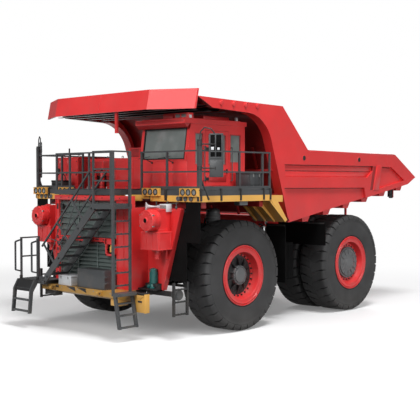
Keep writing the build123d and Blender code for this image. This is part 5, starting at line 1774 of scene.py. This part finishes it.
class TRUCK_OT_drive_trim(Maker):
    """Covers, ribs, bolts and breather of the rear axle, and fins, fan and pipes of the engine"""

    bl_idname = "truck.drive_trim"
    bl_label = "Drive trim"

    def make(self, scene):
        x, z = REAR_AXLE, 1.515
        start("axle_covers")
        profile = ((0, 0), (0, 0.43), (0.02, 0.44), (0.035, 0.43), (0.045, 0.3), (0.05, 0))
        for side in BOTH:
            turned(profile, (x, side * 0.828, z), ACROSS * side, 48)
            turned(
                ((0, 0.518), (0, 0.54), (0.05, 0.54), (0.05, 0.518)), (x, side * 0.62, z), ACROSS * side, 56,
            )
            for i in range(16):
                turn = pi * i / 8
                at = Vector((x + 0.48 * cos(turn), side * 0.828, z + 0.48 * sin(turn)))
                bar(at, at + ACROSS * side * 0.022, 0.018, 6)
        turned(((-0.5, 0), (-0.5, 0.24), (-0.53, 0.27), (-0.56, 0.24), (-0.575, 0)), (x, 0, z), FORWARD, 40)
        bar((x - 0.2, 0.2, z + 0.5), (x - 0.2, 0.2, z + 0.6), 0.03, 16, 0.004)
        settle("chassis")
        start("nose_ribs")
        for share in (0.15, 0.5, 0.85):
            at = x + 0.3 + share * (ahead(-3.9) - x - 0.3)
            half = 0.42 - 0.27 * share
            block(*about(at, 0.015), -half - 0.02, half + 0.02, 1.285, 1.715, 0.006)
        ball = ((-0.12, 0), (-0.12, 0.12), (-0.05, 0.16), (0.05, 0.16), (0.12, 0.12), (0.12, 0))
        turned(ball, spot(-3.86, 0, 1.5), ACROSS, 32)
        settle("chassis")
        self.engine()

    def engine(self):
        start("engine_heads")
        for i in range(6):
            at = ahead(0.42 + 0.28 * i)
            for side in BOTH:
                block(at, at + 0.22, side * 0.16, side * 0.4, 2.88, 2.98, 0.02)
                bar((at + 0.11, side * 0.418, 2.62), (at + 0.11, side * 0.5, 2.62), 0.05, 16, 0.006)
        for side in BOTH:
            bar(spot(0.4, side * 0.5, 2.62), spot(2.0, side * 0.5, 2.62), 0.065, 20, 0.01)
            for z in (1.95, 2.15, 2.35):
                slab(0.3, 2.1, side * 0.418, side * 0.432, z, z + 0.03)
        bar(spot(2.14, 0, 2.25), spot(2.24, 0, 2.25), 0.2, 32, 0.01)
        settle("iron")
        blade = start("fan")
        outline = ((2.26, 0.03, 2.35), (2.26, -0.1, 2.83), (2.36, 0.1, 2.83), (2.34, 0.06, 2.35))
        prism([spot(x, y, z) for x, y, z in outline], (0.01, 0, 0), 0.002)
        close(blade, "chassis")
        fan = repeated(blade, 8, "X", centre=(0, 0, 2.25))
        fix(fan, "chassis")
        start("alternator")
        profile = ((-0.55, 0), (-0.55, 0.3), (-0.5, 0.36), (-0.02, 0.36), (0, 0.4), (0.04, 0.4), (0.04, 0))
        turned(profile, spot(0.215, 0, 2.25), FORWARD, 48)
        for i in range(5):
            add_ring(spot(-0.25 + 0.09 * i, 0, 2.25), FORWARD, 0.362, 0.012, 48, 6)
        settle("iron")


class TRUCK_OT_frame_trim(Maker):
    """Flanges, gussets and rear lamps of the frame, with the straps of the tanks"""

    bl_idname = "truck.frame_trim"
    bl_label = "Frame trim"

    def make(self, scene):
        start("rail_flanges")
        for side in BOTH:
            y = side * 0.8
            slab(-1.8, 2.66, y - 0.006, y + 0.03 * side, 1.965, 1.998)
            slab(-3.55, 2.66, y - 0.006, y + 0.03 * side, 1.152, 1.185)
            for x in (1.2, 0.5, -0.6, -1.3, -2.3, -2.85):
                slab(*about(x, 0.012), y - 0.006, y + 0.03 * side, 1.18, 1.97)
            slab(-5.95, -2.3, y - 0.006, y + 0.03 * side, 2.515, 2.548)
            for i in range(4):
                at = spot(0.9 - 0.5 * i, y, 1.82)
                bar(at, at + ACROSS * side * 0.022, 0.02, 6)
        settle("chassis")
        start("pivot_caps")
        for side in BOTH:
            for y, way in ((0.848, 1), (0.432, -1)):
                at = spot(-6.3, side * y, 2.4)
                bar(at, at + ACROSS * side * way * 0.012, 0.056, 24, 0.003)
                bar(at, at + ACROSS * side * way * 0.026, 0.022, 6)
        settle("steel")
        start("rear_lamp_bar")
        x = ahead(-6.05)
        block(x - 0.16, x - 0.12, -0.45, 0.45, 2.22, 2.3, 0.006)
        for y in (-0.38, 0.38):
            block(x - 0.22, x - 0.15, *about(y, 0.07), 2.17, 2.32, 0.01)
        settle("chassis")
        start("rear_lamps")
        for y in (-0.38, 0.38):
            bar((x - 0.215, y, 2.245), (x - 0.228, y, 2.245), 0.05, 24, 0.004)
        settle("tail_lamp")
        self.tanks()
        self.flaps()

    def tanks(self):
        x0, x1 = ahead(-3.0), ahead(-2.05)
        start("tank_straps_left")
        for at in (x0 + 0.18, x1 - 0.24):
            block(at, at + 0.07, 1.354, 2.358, 2.246, 2.26)
            block(at, at + 0.07, 2.346, 2.36, 1.145, 2.258)
            block(at, at + 0.07, 1.354, 2.358, 1.142, 1.154)
        bar((x0 + 0.47, 2.22, 2.245), (x0 + 0.47, 2.22, 2.33), 0.06, 24, 0.006)
        block(x0 + 0.02, x1 - 0.02, 2.345, 2.354, 1.19, 1.22, 0.003)
        block(x0 + 0.02, x1 - 0.02, 2.345, 2.354, 2.17, 2.2, 0.003)
        block(x1 - 0.004, x1 + 0.01, 1.4, 2.31, 1.2, 2.2, 0.012)
        # The near-black flap finish on the straps and trim is painted shade behind the mud flaps.
        settle_pair("flap")

    def flaps(self):
        start("flap_strips_left")
        steel = ((2.176, 1.05, 2.92, 3.3), (-1.935, 2.22, 2.88, 2.78), (-3.575, 1.34, 3.08, 2.79))
        for x, y0, y1, z in steel:
            block(ahead(x) - 0.008, ahead(x) + 0.004, y0, y1, z, z + 0.05, 0.003)
            count = int((y1 - y0) / 0.22)
            for y in spaced(y0 + 0.08, 0.22, count):
                bar(spot(x, y, z + 0.025), spot(x + 0.014, y, z + 0.025), 0.013, 6)
        settle_pair("chassis")


# ---- seat and dash ----
def filled(piece, swell=0.024):
    """Blow a closed fabric form up into a stuffed one, no point moving further than the swell."""
    activate(piece)
    even = piece.modifiers.new("even", "REMESH")
    even.mode = "VOXEL"
    even.voxel_size = CLOTH_GRID
    bpy.ops.object.modifier_apply(modifier=even.name)
    rest = [point.co.copy() for point in piece.data.vertices]
    cloth = piece.modifiers.new("air", "CLOTH")
    cloth.settings.use_pressure = True
    cloth.settings.uniform_pressure_force = AIR_PRESSURE
    cloth.settings.effector_weights.gravity = 0.0
    cloth.settings.quality = 5
    for number in range(AIR_FRAMES):
        bpy.context.scene.frame_set(number + 1)
    bpy.ops.object.modifier_apply(modifier=cloth.name)
    bpy.context.scene.frame_set(1)
    for point, start_place in zip(piece.data.vertices, rest):
        moved = point.co - start_place
        if moved.length > swell:
            point.co = start_place + moved.normalized() * swell
    finer = piece.modifiers.new("finer", "SUBSURF")
    finer.levels = 1
    bpy.ops.object.modifier_apply(modifier=finer.name)
    return piece


class TRUCK_OT_seat(Maker):
    """Operator's seat: stuffed cushion, back and headrest on an air-sprung base with arms"""

    bl_idname = "truck.seat"
    bl_label = "Seat"

    def make(self, scene):
        x, y = ahead(0.83), 1.7
        cushion = start("seat_cushion")
        block(x - 0.235, x + 0.245, *about(y, 0.235), 4.262, 4.365, 0.035)
        close(cushion, "fabric", 60)
        lean = Matrix.Translation((x - 0.2, y, 4.4)) @ Matrix.Rotation(radians(-11.3), 4, "Y")
        back = start("seat_back")
        block(-0.055, 0.04, -0.225, 0.225, 0.035, 0.52, 0.035)
        close(back, "fabric", 60)
        rest = start("seat_headrest")
        block(-0.04, 0.03, -0.125, 0.125, 0.565, 0.665, 0.025)
        close(rest, "fabric", 60)
        for piece in (back, rest):
            piece.data.transform(lean)
        bolsters = []
        for side, name in ((1, "left"), (-1, "right")):
            bolster = start(f"seat_bolster_{name}")
            block(-0.03, 0.065, *about(side * 0.19, 0.035), 0.1, 0.44, 0.028)
            close(bolster, "fabric", 60)
            bolster.data.transform(lean)
            bolsters.append(bolster)
        for piece, fill, swell in ((cushion, 0.8, 0.024), (back, 0.8, 0.024), (rest, 0.9, 0.014)):
            fix(filled(piece, swell), "chassis")
        for piece in bolsters:
            fix(filled(piece, 0.01), "chassis")
        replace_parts(cushion, "operator_seat")
        start("seat_piping")
        line = ((-0.22, -0.22), (0.225, -0.22), (0.225, 0.22), (-0.22, 0.22), (-0.22, -0.22))
        pipe([(x + dx, y + dy, 4.375) for dx, dy in line], 0.006, 8)
        settle("plastic", "chassis")
        self.base(x, y, lean)

    def base(self, x, y, lean):
        start("seat_frame")
        block(*about(x, 0.24), *about(y, 0.24), 4.225, 4.262, 0.015)
        block(x - 0.2, x + 0.22, *about(y, 0.2), 3.921, 3.955, 0.01)
        for side in BOTH:
            block(*about(x, 0.22), *about(y + side * 0.17, 0.02), 3.955, 3.985, 0.006)
            block(x - 0.2, x + 0.16, *about(y + side * 0.27, 0.03), 4.535, 4.575, 0.018)
            block(x - 0.21, x - 0.16, *about(y + side * 0.27, 0.015), 4.24, 4.55, 0.008)
        settle("plastic")
        shell = start("seat_shell")
        block(-0.085, -0.058, -0.235, 0.235, 0.0, 0.56, 0.012)
        for side in BOTH:
            bar((-0.02, side * 0.06, 0.5), (-0.02, side * 0.06, 0.6), 0.008, 10)
        close(shell, "plastic")
        shell.data.transform(lean)
        fix(shell, "chassis")
        start("seat_bellows")
        for z in spaced(3.985, 0.04, 6):
            block(x - 0.17, x + 0.18, *about(y, 0.17), z, z + 0.024, 0.01)
            block(x - 0.15, x + 0.16, *about(y, 0.15), z + 0.02, z + 0.044)
        settle("seal")


class TRUCK_OT_dash(Maker):
    """Dash with hood, dials, switches, pedals and the steering wheel on its column"""

    bl_idname = "truck.dash"
    bl_label = "Dash"

    def make(self, scene):
        front = ahead(1.715)
        start("dash_hood")
        y0, y1 = 0.87, 2.53
        line = ((0, 4.62), (0.21, 4.635), (0.335, 4.47), (0.3, 4.4), (0.22, 3.93), (0, 3.93))
        prism([(front - back, y0, z) for back, z in line], (0, y1 - y0, 0), 0.012)
        block(front - 0.24, front - 0.1, 1.42, 1.98, 4.62, 4.655, 0.012)
        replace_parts(settle("plastic"), "dash_console")
        normal = Vector((-0.163, 0, 0.124)).normalized()
        middle = Vector((front - 0.272, 1.7, 4.553))
        up = Vector((0.124, 0, 0.163)).normalized()
        start("dash_dials")
        for y, size in ((-0.2, 0.04), (-0.07, 0.052), (0.07, 0.052), (0.2, 0.04)):
            ring = (
                (-0.005, size), (0.01, size), (0.012, size - 0.004), (0.004, size - 0.008),
                (-0.005, size - 0.01),
            )
            turned(ring, middle + ACROSS * y, normal, 28, ACROSS)
        for i in range(6):
            at = middle + ACROSS * (0.34 + 0.055 * i) - up * 0.02
            bar(at, at + normal * 0.016, 0.012, 10, 0.002)
            at = middle - ACROSS * (0.34 + 0.055 * i) - up * 0.02
            bar(at, at + normal * 0.012, 0.014, 4, 0.002)
        settle("steel", "chassis")
        start("dial_glass")
        for y, size in ((-0.2, 0.032), (-0.07, 0.044), (0.07, 0.044), (0.2, 0.032)):
            at = middle + ACROSS * y
            bar(at, at + normal * 0.004, size, 28)
        settle("glass")
        self.wheel()

    def wheel(self):
        hub = spot(1.26, 1.7, 4.66)
        normal = Vector((-0.17, 0, 0.16)).normalized()
        start("steering_wheel")
        add_ring(hub + normal * 0.014, normal, 0.203, 0.014, 48, 10)
        for turn in (0, 2 * pi / 3, -2 * pi / 3):
            reach = Matrix.Rotation(turn, 3, normal) @ ACROSS
            bar(hub + normal * 0.012 + reach * 0.03, hub + normal * 0.014 + reach * 0.195, 0.012, 8)
        turned(((-0.02, 0), (-0.02, 0.045), (0.02, 0.045), (0.028, 0.03), (0.03, 0)), hub, normal, 28, ACROSS)
        foot = spot(1.44, 1.7, 4.5)
        bar(hub, foot, 0.035, 20, 0.004)
        bar(hub.lerp(foot, 0.35), hub.lerp(foot, 0.8), 0.048, 20, 0.006)
        settle("plastic")
        start("pedals")
        for y in (1.52, 1.66, 1.88):
            side_plate(((1.34, 3.96), (1.42, 4.09), (1.435, 4.08), (1.355, 3.95)), y, 0.08, 0.004)
            bar(spot(1.42, y + 0.04, 4.03), spot(1.5, y + 0.04, 3.97), 0.01, 8)
        settle("steel")


# ---- stage ----
class TRUCK_OT_stage(Maker):
    """Pale floor, white surroundings, soft lamps and the camera"""

    bl_idname = "truck.stage"
    bl_label = "Stage"

    def make(self, scene):
        scene.view_settings.view_transform = "Standard"
        self.floor()
        self.surroundings(scene)
        self.lamps()
        self.camera(scene)

    def floor(self):
        bpy.ops.object.select_all(action="DESELECT")
        bpy.ops.mesh.primitive_plane_add(size=FLOOR_SIZE, location=(0, 0, -0.001))
        floor = bpy.context.object
        floor.name = "studio_floor"
        shader = Shader("studio_floor")
        seen = self.seen(shader)
        grain = shader.noise(0.4, 3)
        dim = shader.mixed(grain, (0.07, 0.07, 0.07), (0.09, 0.09, 0.09))
        far = self.far(shader)
        pale = shader.mixed(far, (0.8, 0.8, 0.805), (0, 0, 0))
        shader.link("Base Color", shader.mixed(seen, dim, pale))
        shader.link("Emission Color", shader.mixed(seen * (far * 0.84 + 0.16), (0, 0, 0), (1, 1, 1)))
        floor.data.materials.append(
            shader.done(Roughness=0.75, Specular_IOR_Level=0.0, Emission_Strength=1.0),
        )

    def far(self, shader):
        """1 away from the truck, where the floor fades into the white surroundings."""
        sockets = {0: shader.place}
        away = shader.node("ShaderNodeVectorMath", {"operation": "LENGTH"}, sockets, output="Value")
        return away.over(FADE_START, FADE_END)

    def seen(self, shader):
        """1 for what the camera sees directly, in a reflection or through glass."""
        seen = 0.0
        for ray in ("Is Camera Ray", "Is Glossy Ray", "Is Transmission Ray"):
            seen = shader.node("ShaderNodeLightPath", output=ray) + seen
        return seen.math("MINIMUM", 1.0)

    def surroundings(self, scene):
        scene.world = scene.world or bpy.data.worlds.new("surroundings")
        scene.world.use_nodes = True
        tree = scene.world.node_tree
        light = tree.nodes["Background"]
        light.inputs["Color"].default_value = (1, 1, 1, 1)
        path = tree.nodes.new("ShaderNodeLightPath")
        strength = tree.nodes.new("ShaderNodeMapRange")
        most = tree.nodes.new("ShaderNodeMath")
        most.operation = "MAXIMUM"
        tree.links.new(path.outputs["Is Camera Ray"], most.inputs[0])
        tree.links.new(path.outputs["Is Transmission Ray"], most.inputs[1])
        tree.links.new(most.outputs[0], strength.inputs["Value"])
        strength.inputs["To Min"].default_value = 0.22
        strength.inputs["To Max"].default_value = 1.0
        tree.links.new(strength.outputs["Result"], light.inputs["Strength"])

    def lamps(self):
        table = (
            ("key_lamp", (7, 13, 29), 10, 6800),
            ("front_lamp", (27, 5, 15), 17, 3900),
            ("side_lamp", (2, 30, 9), 14, 2300),
            ("back_lamp", (-22, -10, 16), 14, 2400),
        )
        for name, place, size, power in table:
            bpy.ops.object.light_add(type="AREA", location=place)
            lamp = bpy.context.object
            lamp.name = name
            lamp.data.shape = "DISK"
            lamp.data.size = size
            lamp.data.energy = power
            lamp.rotation_euler = (LAMP_AIM - Vector(place)).to_track_quat("-Z", "Y").to_euler()

    def camera(self, scene):
        bpy.ops.object.camera_add(location=CAMERA_PLACE)
        camera = bpy.context.object
        camera.name = "camera"
        flat = cos(CAMERA_PITCH)
        aim = Vector((cos(CAMERA_YAW) * flat, sin(CAMERA_YAW) * flat, sin(CAMERA_PITCH)))
        camera.rotation_euler = aim.to_track_quat("-Z", "Y").to_euler()
        camera.data.lens = LENS
        camera.data.sensor_width = SENSOR
        camera.data.clip_end = 600
        scene.camera = camera


# ---- panel, registration and the run ----
OPERATORS = (
    TRUCK_OT_finishes, TRUCK_OT_tyres, TRUCK_OT_front_rims, TRUCK_OT_rear_rims,
    TRUCK_OT_deck_lamps, TRUCK_OT_radiator, TRUCK_OT_air_cleaners, TRUCK_OT_front_fittings,
    TRUCK_OT_cab_trim, TRUCK_OT_mirrors, TRUCK_OT_deck_trim, TRUCK_OT_cabinets, TRUCK_OT_stair_trim,
    TRUCK_OT_canopy_trim, TRUCK_OT_bed_trim, TRUCK_OT_hoist_trim,
    TRUCK_OT_strut_trim, TRUCK_OT_knuckle_trim, TRUCK_OT_drive_trim, TRUCK_OT_frame_trim,
    TRUCK_OT_seat, TRUCK_OT_dash,
    TRUCK_OT_stage,
)


class TRUCK_PT_pieces(bpy.types.Panel):
    """Lists the truck's pieces and their sizes and colours"""

    bl_idname = "TRUCK_PT_pieces"
    bl_label = "Truck"
    bl_space_type = "VIEW_3D"
    bl_region_type = "UI"
    bl_category = "Truck"

    def draw(self, context):
        layout = self.layout
        scene = context.scene
        for group in (scene.truck_colours, scene.truck_tyres, scene.truck_rims):
            box = layout.box()
            for name in type(group).__annotations__:
                box.prop(group, name)
        for operator in OPERATORS:
            layout.operator(operator.bl_idname)


GROUPS = {"truck_colours": TruckColours, "truck_tyres": TyreSizes, "truck_rims": RimSizes}


def register():
    for name, group in GROUPS.items():
        bpy.utils.register_class(group)
        setattr(bpy.types.Scene, name, PointerProperty(type=group))
    for made in (*OPERATORS, TRUCK_PT_pieces):
        bpy.utils.register_class(made)


def unregister():
    for made in reversed((*OPERATORS, TRUCK_PT_pieces)):
        bpy.utils.unregister_class(made)
    for name, group in GROUPS.items():
        delattr(bpy.types.Scene, name)
        bpy.utils.unregister_class(group)


def main():
    register()
    for operator in OPERATORS:
        space, name = operator.bl_idname.split(".")
        getattr(getattr(bpy.ops, space), name)()


if __name__ == "__main__":
    main()
